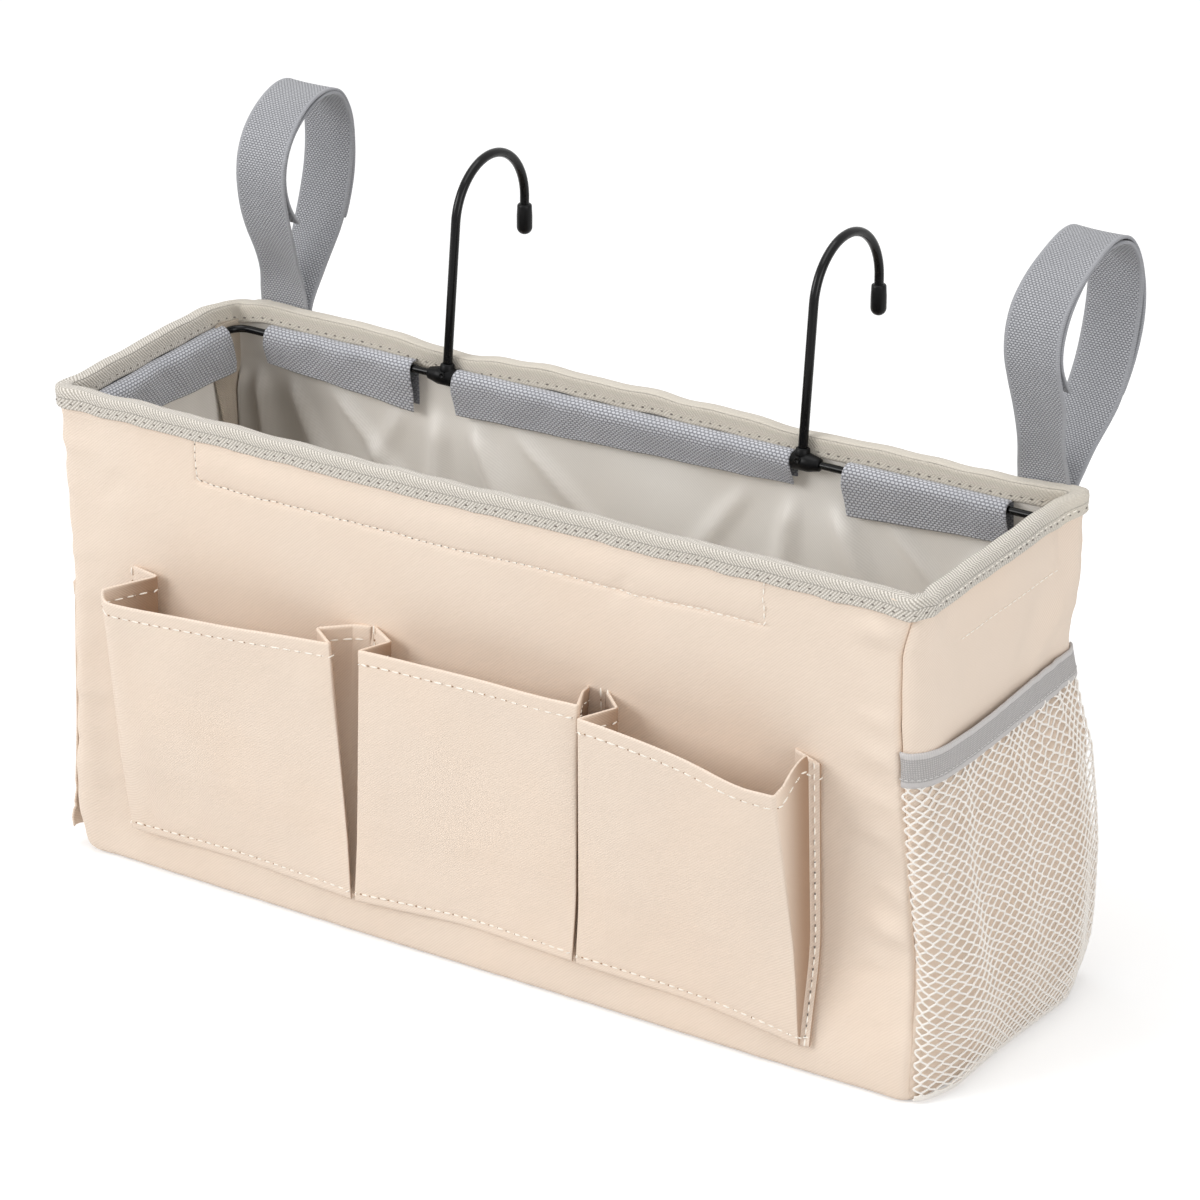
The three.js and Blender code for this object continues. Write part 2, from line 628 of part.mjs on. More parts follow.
function strapBand(x, line, fromShare, toShare, inward) {
  const first = Math.round(fromShare * STRAP_STEPS);
  const last = Math.round(toShare * STRAP_STEPS);
  const outline = [[-1, -1], [1, -1], [1, 1], [-1, 1]].map(([a, b]) =>
    new THREE.Vector2((a * WEBBING_WIDTH) / 2, (b * WEBBING_THICKNESS) / 2));
  const stops = [];
  for (let index = first; index <= last; index += 1) {
    const before = line[Math.max(index - 1, 0)];
    const after = line[Math.min(index + 1, line.length - 1)];
    const onward = after.clone().sub(before).normalize();
    const inside = new THREE.Vector3(0, onward.y, -onward.x);
    const at = new THREE.Vector3(x, line[index].x, line[index].y).addScaledVector(inside, inward);
    stops.push({ at, across: alongX, up: inside });
  }
  return sweepOutline(outline, stops);
}

const straps = {
  left: { x: STRAP_LEFT_X, loopDepth: STRAP_LOOP_DEPTH_LEFT },
  right: { x: STRAP_RIGHT_X, loopDepth: STRAP_LOOP_DEPTH_RIGHT },
};
for (const [side, { x, loopDepth }] of Object.entries(straps)) {
  const line = strapLine(loopDepth);
  addPiece(`strap_outer_${side}`, strapBand(x, line, 0, OUTER_BAND_END_SHARE, 0), 'webbing');
  addPiece(`strap_inner_${side}`, strapBand(x, line, INNER_BAND_START_SHARE, 1, strapPitch), 'webbing');
  const rootDepth = 2 * strapPitch - SEAT_GAP;
  const root = new THREE.BoxGeometry(WEBBING_WIDTH, rootDepth, STRAP_ROOT_HEIGHT);
  const rootY = shellHalf.y + SEAT_GAP + rootDepth / 2;
  root.translate(x, rootY, bindingLowZ - SEAT_GAP - STRAP_ROOT_HEIGHT / 2);
  addPiece(`strap_root_${side}`, root, 'webbing');
}

// Front pockets. Each is one cloth pleated at both sides: from its seam on the wall in to a
// crease, out to the front corner and across. It is sewn flat at its foot and stands proud at
// its mouth, and rise is 0 at the foot and 1 at the mouth.
const frontFaceY = -shellHalf.y;

function pocketRing(startX, endX, shares, rise) {
  const seat = SEAT_GAP + POCKET_CLOTH / 2;
  const footDepth = POCKET_FOOT_DEPTH - POCKET_CLOTH / 2;
  const place = (footX, footDistance, [acrossShare, proudShare]) => [
    lerp(footX, acrossShare * PLEAT_DEPTH, rise),
    lerp(footDistance, proudShare * POCKET_PROUD_DEPTH, rise),
  ];
  const side = (crease, corner) => ({
    crease: place(PLEAT_DEPTH, POCKET_FOOT_DEPTH / 2, crease),
    corner: place(POCKET_CLOTH, footDepth, corner),
  });
  const near = side(shares.crease, shares.corner);
  const far = side(shares.farCrease, shares.farCorner);
  const flat = (cornerDepth) => lerp(seat, cornerDepth, Math.min(1, rise / POCKET_FLAT_SHARE));
  const pastPleat = PLEAT_DEPTH + 2 * POCKET_CLOTH;
  const points = [
    [startX + seat, seat],
    [startX + near.crease[0], near.crease[1]],
    [startX + near.corner[0], near.corner[1]],
    [startX + near.corner[0] + pastPleat, near.corner[1]],
    [startX + near.corner[0] + pastPleat + POCKET_SPREAD_DEPTH, flat(near.corner[1])],
    [endX - far.corner[0] - pastPleat - POCKET_SPREAD_DEPTH, flat(far.corner[1])],
    [endX - far.corner[0] - pastPleat, far.corner[1]],
    [endX - far.corner[0], far.corner[1]],
    [endX - far.crease[0], far.crease[1]],
    [endX - seat, seat],
  ].map(([x, outwards]) => new THREE.Vector2(x, -outwards));
  return thickLine(points, POCKET_CLOTH);
}

function pocketGeometry(startX, endX, shares, sag) {
  const outlines = Array.from({ length: POCKET_RINGS }, (_, index) =>
    pocketRing(startX, endX, shares, index / (POCKET_RINGS - 1)));
  const rings = outlines.map((outline, index) => outline.map((point) => {
    const topZ = POCKET_TOP_Z - (sag * (point.x - startX)) / (endX - startX);
    const z = lerp(POCKET_BOTTOM_Z, topZ, index / (POCKET_RINGS - 1));
    return new THREE.Vector3(point.x, frontFaceY + point.y, z);
  }));
  return skinRings(rings, false, { first: outlines[0], last: outlines[outlines.length - 1] });
}
['left', 'middle', 'right'].forEach((name, index) => {
  const startX = POCKET_ROW_START_X + index * POCKET_WIDTH + SEAT_GAP / 2;
  const endX = startX + POCKET_WIDTH - SEAT_GAP;
  const sag = name === 'right' ? POCKET_DROOP_DEPTH : 0;
  const pocket = pocketGeometry(startX, endX, pocketMouthShares[name], sag);
  addPiece(`front_pocket_${name}`, pocket, 'shellCloth');
});

// End pockets run from one corner seam to the other. A place on them is a distance along the
// end wall's outline from its middle, and a stand-off square to that outline.
const endFlatHalf = shellHalf.y - shellCorner;
const endSeamHalf = endFlatHalf + shellCorner * radians(END_SEAM_BEARING_DEG);

function endWallPlace(sideX, along, standOff) {
  const bearing = Math.max(Math.abs(along) - endFlatHalf, 0) / shellCorner;
  const reach = shellCorner + standOff;
  const x = shellHalf.x - shellCorner + reach * Math.cos(bearing);
  const y = Math.min(Math.abs(along), endFlatHalf) + reach * Math.sin(bearing);
  return new THREE.Vector2(sideX * x, Math.sign(along) * y);
}

// How far the bulge has risen, from 0 at the seams to 1 in the middle
function acrossBulge(along) {
  const share = Math.min(Math.abs(along) / endSeamHalf, 1);
  return Math.sqrt(Math.max(1 - share ** 4, 0));
}

function endPocketLine(sideX, standOffAt) {
  return Array.from({ length: END_POCKET_STOPS }, (_, index) => {
    const angle = lerp(-quarterTurn, quarterTurn, index / (END_POCKET_STOPS - 1));
    const along = endSeamHalf * Math.sin(angle);
    return endWallPlace(sideX, along, standOffAt(along));
  });
}

// Flat pocket on the left end
function endPocketGeometry() {
  const mid = END_POCKET_CLOTH / 2;
  const outlines = endPocketRowShares.map(([, share]) => {
    const rise = share * (END_POCKET_BULGE_DEPTH - END_POCKET_CLOTH);
    const line = endPocketLine(-1, (along) => SEAT_GAP + mid + rise * acrossBulge(along));
    return thickLine(line, END_POCKET_CLOTH);
  });
  const rings = outlines.map((outline, index) => {
    const z = lerp(END_POCKET_BOTTOM_Z, END_POCKET_TOP_Z, endPocketRowShares[index][0]);
    return outline.map((point) => new THREE.Vector3(point.x, point.y, z));
  });
  return skinRings(rings, false, { first: outlines[0], last: outlines[outlines.length - 1] });
}
addPiece('left_end_pocket', endPocketGeometry(), 'shellCloth');

// Net pocket on the right end: a net of yarn that bulges, gathered into an elastic band
const elasticLowZ = ELASTIC_TOP_Z - ELASTIC_HEIGHT;

function netStandOff(along, z) {
  const rise = (z - NET_BOTTOM_Z) / (elasticLowZ - NET_BOTTOM_Z);
  const below = rise < NET_FULL_SHARE;
  const turn = below ? rise / NET_FULL_SHARE : (1 - rise) / (1 - NET_FULL_SHARE);
  const edge = below ? NET_FOOT_SHARE : NET_MOUTH_SHARE;
  const swell = lerp(edge, 1, Math.sin(quarterTurn * Math.max(turn, 0)));
  const bulge = (NET_BULGE_DEPTH - NET_SHEET_THICKNESS) * swell * acrossBulge(along);
  return SEAT_GAP + NET_SHEET_THICKNESS / 2 + bulge;
}

// Gives a flat mesh a thickness: two skins, and a wall on each edge that only one face has
function thickSheet(points, faces, placeAt) {
  const count = points.length;
  const positions = [-1, 1].flatMap((side) => points.map((point) => placeAt(point, side)));
  const edges = new Set(faces.flatMap(([a, b, c]) => [`${a} ${b}`, `${b} ${c}`, `${c} ${a}`]));
  const triangles = faces.flatMap(([a, b, c]) => [[c, b, a], [a + count, b + count, c + count]]);
  for (const edge of edges) {
    const [from, to] = edge.split(' ').map(Number);
    if (edges.has(`${to} ${from}`)) continue;
    triangles.push([from, to, to + count], [from, to + count, from + count]);
  }
  return facingOut(positions, triangles);
}

// The net is meshed flat and laid on the bulge. It is counted in half cells, i along the wall
// and j up: a gap's middle lies where i + j is even, and two strands cross where it is odd.
function netGeometry() {
  const lastI = 2 * NET_COLUMNS;
  const lastJ = 2 * NET_ROWS;
  const halfX = (2 * endSeamHalf - 2 * NET_BORDER) / lastI;
  const halfZ = (elasticLowZ - SEAT_GAP - NET_BOTTOM_Z - 2 * NET_BORDER) / lastJ;
  const innerRadius = (halfX * halfZ) / Math.hypot(halfX, halfZ);
  const gapShare = 1 - NET_CORD / 2 / innerRadius;
  const inside = (count, last) => count > 0 && count < last;
  const place = (count, last, half, shift) => {
    if (inside(count, last)) return NET_BORDER + (count + shift * gapShare) * half;
    return count > 0 ? 2 * NET_BORDER + last * half : 0;
  };

  // The number of a gap's corner on its i or j side, or of the outline's point where no gap is
  const points = [];
  const numbers = new Map();
  const corner = (i, j, toI = 0, toJ = 0) => {
    const key = inside(i, lastI) && inside(j, lastJ) ? `${i} ${j} ${toI} ${toJ}` : `${i} ${j}`;
    if (!numbers.has(key)) {
      numbers.set(key, points.length);
      const along = place(i, lastI, halfX, toI) - endSeamHalf;
      points.push(new THREE.Vector2(along, place(j, lastJ, halfZ, toJ)));
    }
    return numbers.get(key);
  };

  const faces = [];
  const addFace = (a, b, c) => {
    const turnsLeft = THREE.ShapeUtils.area([points[a], points[b], points[c]]) > 0;
    faces.push(turnsLeft ? [a, b, c] : [a, c, b]);
  };
  const addCrossing = (i, j) => {
    const left = corner(i - 1, j, 1);
    const right = corner(i + 1, j, -1);
    addFace(left, right, corner(i, j - 1, 0, 1));
    addFace(left, right, corner(i, j + 1, 0, -1));
  };

  // The strand on one slanted side of a gap, or the border there
  const addStrand = (i, j, toI, toJ) => {
    const side = corner(i, j, toI);
    const end = corner(i, j, 0, toJ);
    const insideI = inside(i + toI, lastI);
    const insideJ = inside(j + toJ, lastJ);
    if (insideI && insideJ) {
      if (toI < 0) return;
      const farSide = corner(i + toI, j + toJ, -toI);
      addFace(side, corner(i + toI, j + toJ, 0, -toJ), farSide);
      addFace(side, farSide, end);
      return;
    }
    const around = [end, side];
    if (!insideJ) around.unshift(corner(i, j + toJ));
    if (!insideI) around.push(corner(i + toI, j));
    const outer = corner(i + toI, j + toJ);
    for (let index = 1; index < around.length; index += 1) {
      addFace(outer, around[index - 1], around[index]);
    }
  };

  const slants = [[1, 1], [1, -1], [-1, 1], [-1, -1]];
  for (let i = 1; i < lastI; i += 1) {
    for (let j = 1; j < lastJ; j += 1) {
      if ((i + j) % 2 === 1) addCrossing(i, j);
      else slants.forEach(([toI, toJ]) => addStrand(i, j, toI, toJ));
    }
  }

  return thickSheet(points, faces, (point, side) => {
    const z = NET_BOTTOM_Z + point.y;
    const standOff = netStandOff(point.x, z) + (side * NET_SHEET_THICKNESS) / 2;
    const at = endWallPlace(1, point.x, standOff);
    return new THREE.Vector3(at.x, at.y, z);
  });
}
addPiece('net_pocket', netGeometry(), 'netYarn');

function elasticGeometry() {
  const proud = (ELASTIC_THICKNESS - NET_SHEET_THICKNESS) / 2;
  const line = endPocketLine(1, (along) => netStandOff(along, elasticLowZ) + proud);
  const outline = thickLine(line, ELASTIC_THICKNESS);
  const shape = new THREE.Shape(outline);
  const band = new THREE.ExtrudeGeometry(shape, { depth: ELASTIC_HEIGHT, bevelEnabled: false });
  band.translate(0, 0, elasticLowZ);
  return band;
}
addPiece('elastic_band', elasticGeometry(), 'elastic');

export default caddy;
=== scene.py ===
import math

import bpy
import numpy as np
from mathutils import Matrix, Vector


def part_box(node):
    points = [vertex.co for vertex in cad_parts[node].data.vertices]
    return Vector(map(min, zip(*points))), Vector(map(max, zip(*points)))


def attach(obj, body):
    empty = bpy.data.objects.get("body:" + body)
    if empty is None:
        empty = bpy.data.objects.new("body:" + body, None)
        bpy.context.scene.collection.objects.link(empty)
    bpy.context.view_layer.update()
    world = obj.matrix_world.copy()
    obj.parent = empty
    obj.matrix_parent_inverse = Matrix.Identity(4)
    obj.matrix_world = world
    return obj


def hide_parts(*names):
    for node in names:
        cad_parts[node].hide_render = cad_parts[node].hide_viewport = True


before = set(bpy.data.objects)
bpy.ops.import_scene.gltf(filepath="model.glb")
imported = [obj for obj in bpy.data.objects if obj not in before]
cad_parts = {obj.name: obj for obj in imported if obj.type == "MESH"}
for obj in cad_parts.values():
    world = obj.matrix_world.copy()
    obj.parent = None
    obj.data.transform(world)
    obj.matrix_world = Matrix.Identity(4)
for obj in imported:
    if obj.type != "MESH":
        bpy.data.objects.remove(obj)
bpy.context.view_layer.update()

MM = 0.001
BODY = "caddy_body"


def middle_x(name):
    """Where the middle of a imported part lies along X."""
    low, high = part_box(name)
    return (low.x + high.x) / 2


# The box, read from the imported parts. Its bottom panel ends this far inside the end walls.
BOTTOM_INSET = 5 * MM
SHELL_HALF_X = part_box("shell_bottom")[1].x + BOTTOM_INSET
SHELL_HALF_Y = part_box("shell_back")[1].y
RIM_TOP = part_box("rim_binding")[1].z
BINDING_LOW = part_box("rim_binding")[0].z
ROD_LOW, ROD_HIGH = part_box("wire_frame")
ROD_RADIUS = (ROD_HIGH.z - ROD_LOW.z) / 2
ROD_Z = (ROD_HIGH.z + ROD_LOW.z) / 2
ROD_HALF = (ROD_HIGH.x - ROD_RADIUS, ROD_HIGH.y - ROD_RADIUS)
HOOK_X = {side: middle_x(f"hook_{side}") for side in ("left", "right")}
STRAP_X = {side: middle_x(f"strap_root_{side}") for side in ("left", "right")}

# Cloth sizes
CORNER_RADIUS = 7.9 * MM
SHELL_CLOTH = 0.8 * MM
LINING_CLOTH = 0.6 * MM
LINING_DEPTH = 3.7 * MM
FLOOR_Z = 3.7 * MM
WALL_TOP = 203.2 * MM
BINDING_CLOTH = 0.8 * MM
FOOT_TURN = 3 * MM
WALL_CELL = 2.5 * MM
LINING_CELL = 1.9 * MM
FINE_CELL = 1.5 * MM
PANEL_CELL = 4 * MM


def smooth(low, high, value):
    """Rises softly from 0 at the value low to 1 at high."""
    share = np.clip((np.asarray(value, float) - low) / (high - low), 0, 1)
    return share * share * (3 - 2 * share)


def swell(value, middle, reach):
    """A soft hump of 1 at the middle, which has faded at about twice the reach."""
    return np.exp(-(((np.asarray(value, float) - middle) / reach) ** 2))


def mix(a, b, share):
    """The value that lies this share of the way from a to b."""
    return a + (b - a) * share


def waves(u, v, size, seed, count=7):
    """A soft uneven field of about -1 to 1, from waves about size long in many directions."""
    rng = np.random.default_rng(seed)
    total = np.zeros(np.broadcast(u, v).shape)
    for _ in range(count):
        heading, phase = rng.uniform(0, 2 * math.pi, 2)
        turn = 2 * math.pi / (size * rng.uniform(0.7, 1.5))
        total = total + np.sin(turn * (u * math.cos(heading) + v * math.sin(heading)) + phase)
    return total / math.sqrt(count)


def unit(vectors):
    return vectors / np.maximum(np.linalg.norm(vectors, axis=-1, keepdims=True), 1e-12)


def distances(line):
    """How far along a line each of its points is."""
    return np.concatenate([[0], np.cumsum(np.linalg.norm(np.diff(line, axis=0), axis=1))])


def points_at(line, places):
    """The points at some distances along a line."""
    run = distances(line)
    return np.stack([np.interp(places, run, line[:, axis]) for axis in range(line.shape[1])], -1)


def dense_line(points, step):
    """A line stepped anew, with a point about every step."""
    points = np.asarray(points, float)
    length = distances(points)[-1]
    return points_at(points, np.linspace(0, length, max(int(round(length / step)), 2) + 1))


def flowing(points, count):
    """A smooth line through points, evenly stepped."""
    points = np.asarray(points, float)
    ends = np.concatenate([[2 * points[0] - points[1]], points, [2 * points[-1] - points[-2]]])
    line = []
    for a, b, c, d in zip(ends, ends[1:], ends[2:], ends[3:]):
        for t in np.linspace(0, 1, 16, endpoint=False):
            line.append(0.5 * (2 * b + (c - a) * t + (2 * a - 5 * b + 4 * c - d) * t ** 2
                               + (3 * b - a - 3 * c + d) * t ** 3))
    line = np.array(line + [points[-1]])
    return points_at(line, np.linspace(0, distances(line)[-1], count))


# The box's outline from above
# A place on a wall is a distance along the shell's outline, which starts in the middle of the
# front left corner and runs along the front, the right end, the back and the left end.
QUARTER = CORNER_RADIUS * math.pi / 2
FRONT_RUN = 2 * (SHELL_HALF_X - CORNER_RADIUS)
END_RUN = 2 * (SHELL_HALF_Y - CORNER_RADIUS)
LOOP = 2 * (FRONT_RUN + END_RUN) + 4 * QUARTER
SEAMS = np.cumsum([0, FRONT_RUN + QUARTER, END_RUN + QUARTER, FRONT_RUN + QUARTER, END_RUN + QUARTER])
WALLS = {"front": (SEAMS[0], SEAMS[1]), "right_end": (SEAMS[1], SEAMS[2]),
         "back": (SEAMS[2], SEAMS[3]), "left_end": (SEAMS[3], SEAMS[4])}


def around(along):
    """The outline's point and outward direction at distances along it."""
    along = np.mod(np.asarray(along, float), LOOP)
    at = np.zeros(along.shape + (2,))
    out = np.zeros_like(at)
    inner_x, inner_y = SHELL_HALF_X - CORNER_RADIUS, SHELL_HALF_Y - CORNER_RADIUS
    corners = [(-inner_x, -inner_y), (inner_x, -inner_y), (inner_x, inner_y), (-inner_x, inner_y)]
    start = -QUARTER / 2
    for index, (run, corner) in enumerate(zip([FRONT_RUN, END_RUN] * 2, corners)):
        here = np.where(along > LOOP - QUARTER / 2, along - LOOP, along) - start
        bearing = math.pi + index * math.pi / 2 + np.clip(here, 0, QUARTER) / CORNER_RADIUS
        onward = np.clip(here - QUARTER, 0, run)
        heading = index * math.pi / 2
        mine = (here >= -1e-9) & (here <= QUARTER + run + 1e-9)
        x = corner[0] + CORNER_RADIUS * np.cos(bearing) + onward * math.cos(heading)
        y = corner[1] + CORNER_RADIUS * np.sin(bearing) + onward * math.sin(heading)
        at[mine] = np.stack([x, y], -1)[mine]
        out[mine] = np.stack([np.cos(bearing), np.sin(bearing)], -1)[mine]
        start += QUARTER + run
    return at, out


def on_wall(along, z, stand_off):
    """Points at loop distances and heights, so far off the outline."""
    at, out = around(along)
    flat = at + out * np.asarray(stand_off)[..., None]
    return np.concatenate([flat, np.broadcast_to(z, flat.shape[:-1])[..., None]], -1)


# How far the rim has sunk or been pulled in: middle along X, reach, then moves out and up
REAR_DIPS = np.array([(-86, 24, 0, -3.4), (80, 26, 0, -1.6), (150, 30, 0, -0.8), (-150, 26, 0, -0.6)]) * MM
FRONT_DIPS = np.array([(78, 20, -1.8, -1.6), (-30, 60, 0.8, -0.5), (150, 30, 0.6, 0.3)]) * MM
# How far the rear left corner of the rim has moved along X, Y and Z, and how far round it
REAR_CORNER_MOVE = np.array([2.4, -1.4, -2.2]) * MM
REAR_CORNER_REACH = 24 * MM
# How far the front right corner is pinched in below the rim, along X and Y, and how far round it
PINCH_MOVE = np.array([-1.8, 0.8]) * MM
PINCH_REACH = 16 * MM
# How far each corner has kept its sharp edge: heights, and how far it is drawn out both ways
PEAK_REACH = 15 * MM
PEAK_Z = np.array([0, 12, 30, 75, 110, 150, 190, 206]) * MM
PEAKS = {(-1, -1): np.array([0.4, 2.2, 3.2, 1.8, 0.5, 0.5, 1.2, 2.1]) * MM,
         (1, -1): np.array([1.6, 1.5, 1.2, 0.5, 0.0, 0.0, 0.6, 1.6]) * MM,
         (1, 1): np.array([1.0, 1.4, 1.8, 1.6, 0.6, 0.4, 2.9, 4.3]) * MM}
# How far the right end bulges towards its rear seam, under the elastic that draws it in
BULGE_Z = np.array([0, 20, 60, 102, 126, 142, 160, 195]) * MM
BULGE_OUT = np.array([2.6, 5.2, 7.4, 6.6, 1.2, -1.4, 1.4, 0.4]) * MM
# Feet that have lifted at the corners: reach and lift
LIFTED = {(-1, -1): (14 * MM, 1.8 * MM), (1, 1): (26 * MM, 6 * MM)}
# How far the front's foot has spread outwards, along X
SPREAD_X = np.array([-200, -182, -59, 57, 131, 185, 200]) * MM
SPREAD = np.array([1.6, 0.6, 4.8, 7.4, 9.6, 10.2, 9.0]) * MM
# How far the right end's foot has swelled behind the net, by height
FOOT_SWELL_Z = np.array([0, 25, 75]) * MM
FOOT_SWELL = np.array([6.0, 4.6, 0]) * MM


def from_corner(x, y, corner):
    return np.hypot(x - corner[0] * SHELL_HALF_X, y - corner[1] * SHELL_HALF_Y)


def foot_spread(points):
    """How far the front's foot has been pushed out by the base board."""
    x, y, z = points[..., 0], points[..., 1], points[..., 2]
    return np.interp(x, SPREAD_X, SPREAD) * smooth(60 * MM, 0, z) * smooth(-20 * MM, -56 * MM, y)


def settle(points):
    """Moves cloth as the worn box has sagged: rim dips, pulled corners, a bulge and lifted feet."""
    x, y, z = points[..., 0], points[..., 1], points[..., 2]
    moved = np.array(points, float)
    near_rim = smooth(135 * MM, 196 * MM, z)
    rear, front = smooth(20 * MM, 50 * MM, y), smooth(20 * MM, 50 * MM, -y)
    for side, side_share, dips in ((1, rear, REAR_DIPS), (-1, front, FRONT_DIPS)):
        for middle, reach, outwards, upwards in dips:
            share = swell(x, middle, reach) * near_rim * side_share
            moved[..., 1] += side * outwards * share
            moved[..., 2] += upwards * share
    corner = smooth(REAR_CORNER_REACH, 0, from_corner(x, y, (-1, 1))) * near_rim
    moved += REAR_CORNER_MOVE * corner[..., None]
    waist = smooth(60 * MM, 150 * MM, z) * smooth(199 * MM, 182 * MM, z)
    pinch = smooth(PINCH_REACH, 0, from_corner(x, y, (1, -1))) * waist
    moved[..., :2] += PINCH_MOVE * pinch[..., None]
    for side, pushes in PEAKS.items():
        push = np.interp(z, PEAK_Z, pushes) * smooth(PEAK_REACH, 2 * MM, from_corner(x, y, side))
        moved[..., :2] += push[..., None] * side
    beside = smooth(SHELL_HALF_X - 30 * MM, SHELL_HALF_X - 4 * MM, x) * smooth(-25 * MM, 40 * MM, y)
    moved[..., 0] += np.interp(z, BULGE_Z, BULGE_OUT) * beside
    behind_net = smooth(-57 * MM, -40 * MM, y) * smooth(57 * MM, 30 * MM, y)
    swelling = np.interp(z, FOOT_SWELL_Z, FOOT_SWELL) * behind_net
    moved[..., 0] += swelling * smooth(SHELL_HALF_X - 40 * MM, SHELL_HALF_X - 4 * MM, x)
    moved[..., 1] -= foot_spread(points)
    for side, (reach, lift) in LIFTED.items():
        share = smooth(reach, 0, from_corner(x, y, side)) ** 2
        moved[..., 2] += lift * share * smooth(26 * MM, 0, z)
    return moved


# Cloth as meshes
def grid_directions(points, loop=False):
    if loop:
        padded = np.concatenate([points[:, -1:], points, points[:, :1]], 1)
        across = (padded[:, 2:] - padded[:, :-2]) / 2
    else:
        across = np.gradient(points, axis=1)
    return unit(across), unit(np.gradient(points, axis=0))


class Cloth:
    """A sheet of cloth on a grid: rows run up it and columns along it, with a UV in metres."""

    def __init__(self, points, uv, thickness, loop=False):
        self.points, self.uv, self.loop = points, uv, loop
        self.thickness = np.broadcast_to(thickness, points.shape[:2])
        self.along, self.up = grid_directions(points, loop)
        self.normals = unit(np.cross(self.along, self.up))

    def place(self, columns, rows, lift=0.0):
        """Points on the outer face, at shares of the grid's width and height."""
        count_rows, count_columns = self.points.shape[:2]
        columns, rows = np.broadcast_arrays(np.asarray(columns, float), np.asarray(rows, float))
        spans = count_columns if self.loop else count_columns - 1
        column, row = columns * spans, rows * (count_rows - 1)
        c0 = np.clip(np.floor(column).astype(int), 0, spans - 1)
        r0 = np.clip(np.floor(row).astype(int), 0, count_rows - 2)
        face = self.points + self.normals * (self.thickness[..., None] / 2 + lift)
        c1 = (c0 + 1) % count_columns
        right, high = (column - c0)[..., None], (row - r0)[..., None]
        low_edge = mix(face[r0, c0], face[r0, c1], right)
        return mix(low_edge, mix(face[r0 + 1, c0], face[r0 + 1, c1], right), high)

    def build(self, name, finish, slot, replaces=(), body=BODY):
        """A closed mesh: both faces, and a rounded hem along every open edge."""
        rows, columns = self.points.shape[:2]
        half = self.thickness[..., None] / 2
        number = np.arange(rows * columns).reshape(rows, columns)
        skins = [(self.points + self.normals * half).reshape(-1, 3),
                 (self.points - self.normals * half).reshape(-1, 3)]
        first = np.arange(columns if self.loop else columns - 1)
        second = (first + 1) % columns
        quads = np.stack([number[:-1, first], number[:-1, second],
                          number[1:, second], number[1:, first]], -1)
        uv = self.uv
        if self.loop:
            wrapped = uv[:, :1] + [uv[0, -1, 0] - uv[0, 0, 0] + uv[0, 1, 0] - uv[0, 0, 0], 0]
            uv = np.concatenate([uv, wrapped], 1)
        beyond = first + 1
        quad_uv = np.stack([uv[:-1, first], uv[:-1, beyond], uv[1:, beyond], uv[1:, first]], -2)
        quads, quad_uv = quads.reshape(-1, 4), quad_uv.reshape(-1, 4, 2)
        count = rows * columns
        faces, face_uv = [quads, quads[:, ::-1] + count], [quad_uv, quad_uv[:, ::-1]]

        edges = [(number[0], -self.up[0], self.uv[0]),
                 (number[-1, ::-1], self.up[-1, ::-1], self.uv[-1, ::-1])]
        if not self.loop:
            edges.insert(1, (number[:, -1], self.along[:, -1], self.uv[:, -1]))
            edges.append((number[::-1, 0], -self.along[::-1, 0], self.uv[::-1, 0]))
        rim_number, rim_out, rim_uv = {}, {}, {}
        pairs = []
        for ids, outwards, edge_uv in edges:
            for index, vertex in enumerate(ids):
                rim_out[vertex] = rim_out.get(vertex, 0) + outwards[index]
                rim_uv[vertex] = edge_uv[index]
            pairs += list(zip(ids[:-1], ids[1:]))
            if self.loop:
                pairs.append((ids[-1], ids[0]))
        flat_points, flat_thick = self.points.reshape(-1, 3), self.thickness.ravel()
        rim_points = []
        for vertex, outwards in rim_out.items():
            rim_number[vertex] = 2 * count + len(rim_points)
            rim_points.append(flat_points[vertex] + unit(outwards) * flat_thick[vertex] / 2)
        hems, hem_uv = [], []
        for a, b in pairs:
            hems.append((a, rim_number[a], rim_number[b], b))
            hems.append((rim_number[a], a + count, b + count, rim_number[b]))
            hem_uv += [(rim_uv[a], rim_uv[a], rim_uv[b], rim_uv[b])] * 2
        faces.append(np.array(hems))
        face_uv.append(np.array(hem_uv))
        made = mesh_object(name, np.concatenate(skins + [np.array(rim_points)]),
                           np.concatenate(faces), np.concatenate(face_uv))
        return finish_piece(made, finish, replaces, body)

    def lay(self, name, finish, slot, stands_for, flat, held, *rests_on, body=BODY):
        self.build(name, finish, slot, [stands_for], body)


def mesh_object(name, points, faces, face_uv=None):
    """A smooth mesh whose place is in its points."""
    mesh = bpy.data.meshes.new(name)
    faces = [list(map(int, face)) for face in faces]
    mesh.from_pydata([tuple(map(float, point)) for point in points], [], faces)
    if face_uv is not None:
        layer = mesh.uv_layers.new(name="UVMap")
        layer.data.foreach_set("uv", np.asarray(face_uv, np.float32).ravel())
    mesh.polygons.foreach_set("use_smooth", [True] * len(faces))
    mesh.update()
    made = bpy.data.objects.new(name, mesh)
    bpy.context.collection.objects.link(made)
    return made


def finish_piece(piece, finish, replaces=(), body=BODY):
    """Gives a piece its material, hangs it on its body and hides the parts that it replaces."""
    piece.data.materials.clear()
    piece.data.materials.append(FINISHES[finish])
    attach(piece, body)
    if replaces:
        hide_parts(*replaces)
    return piece


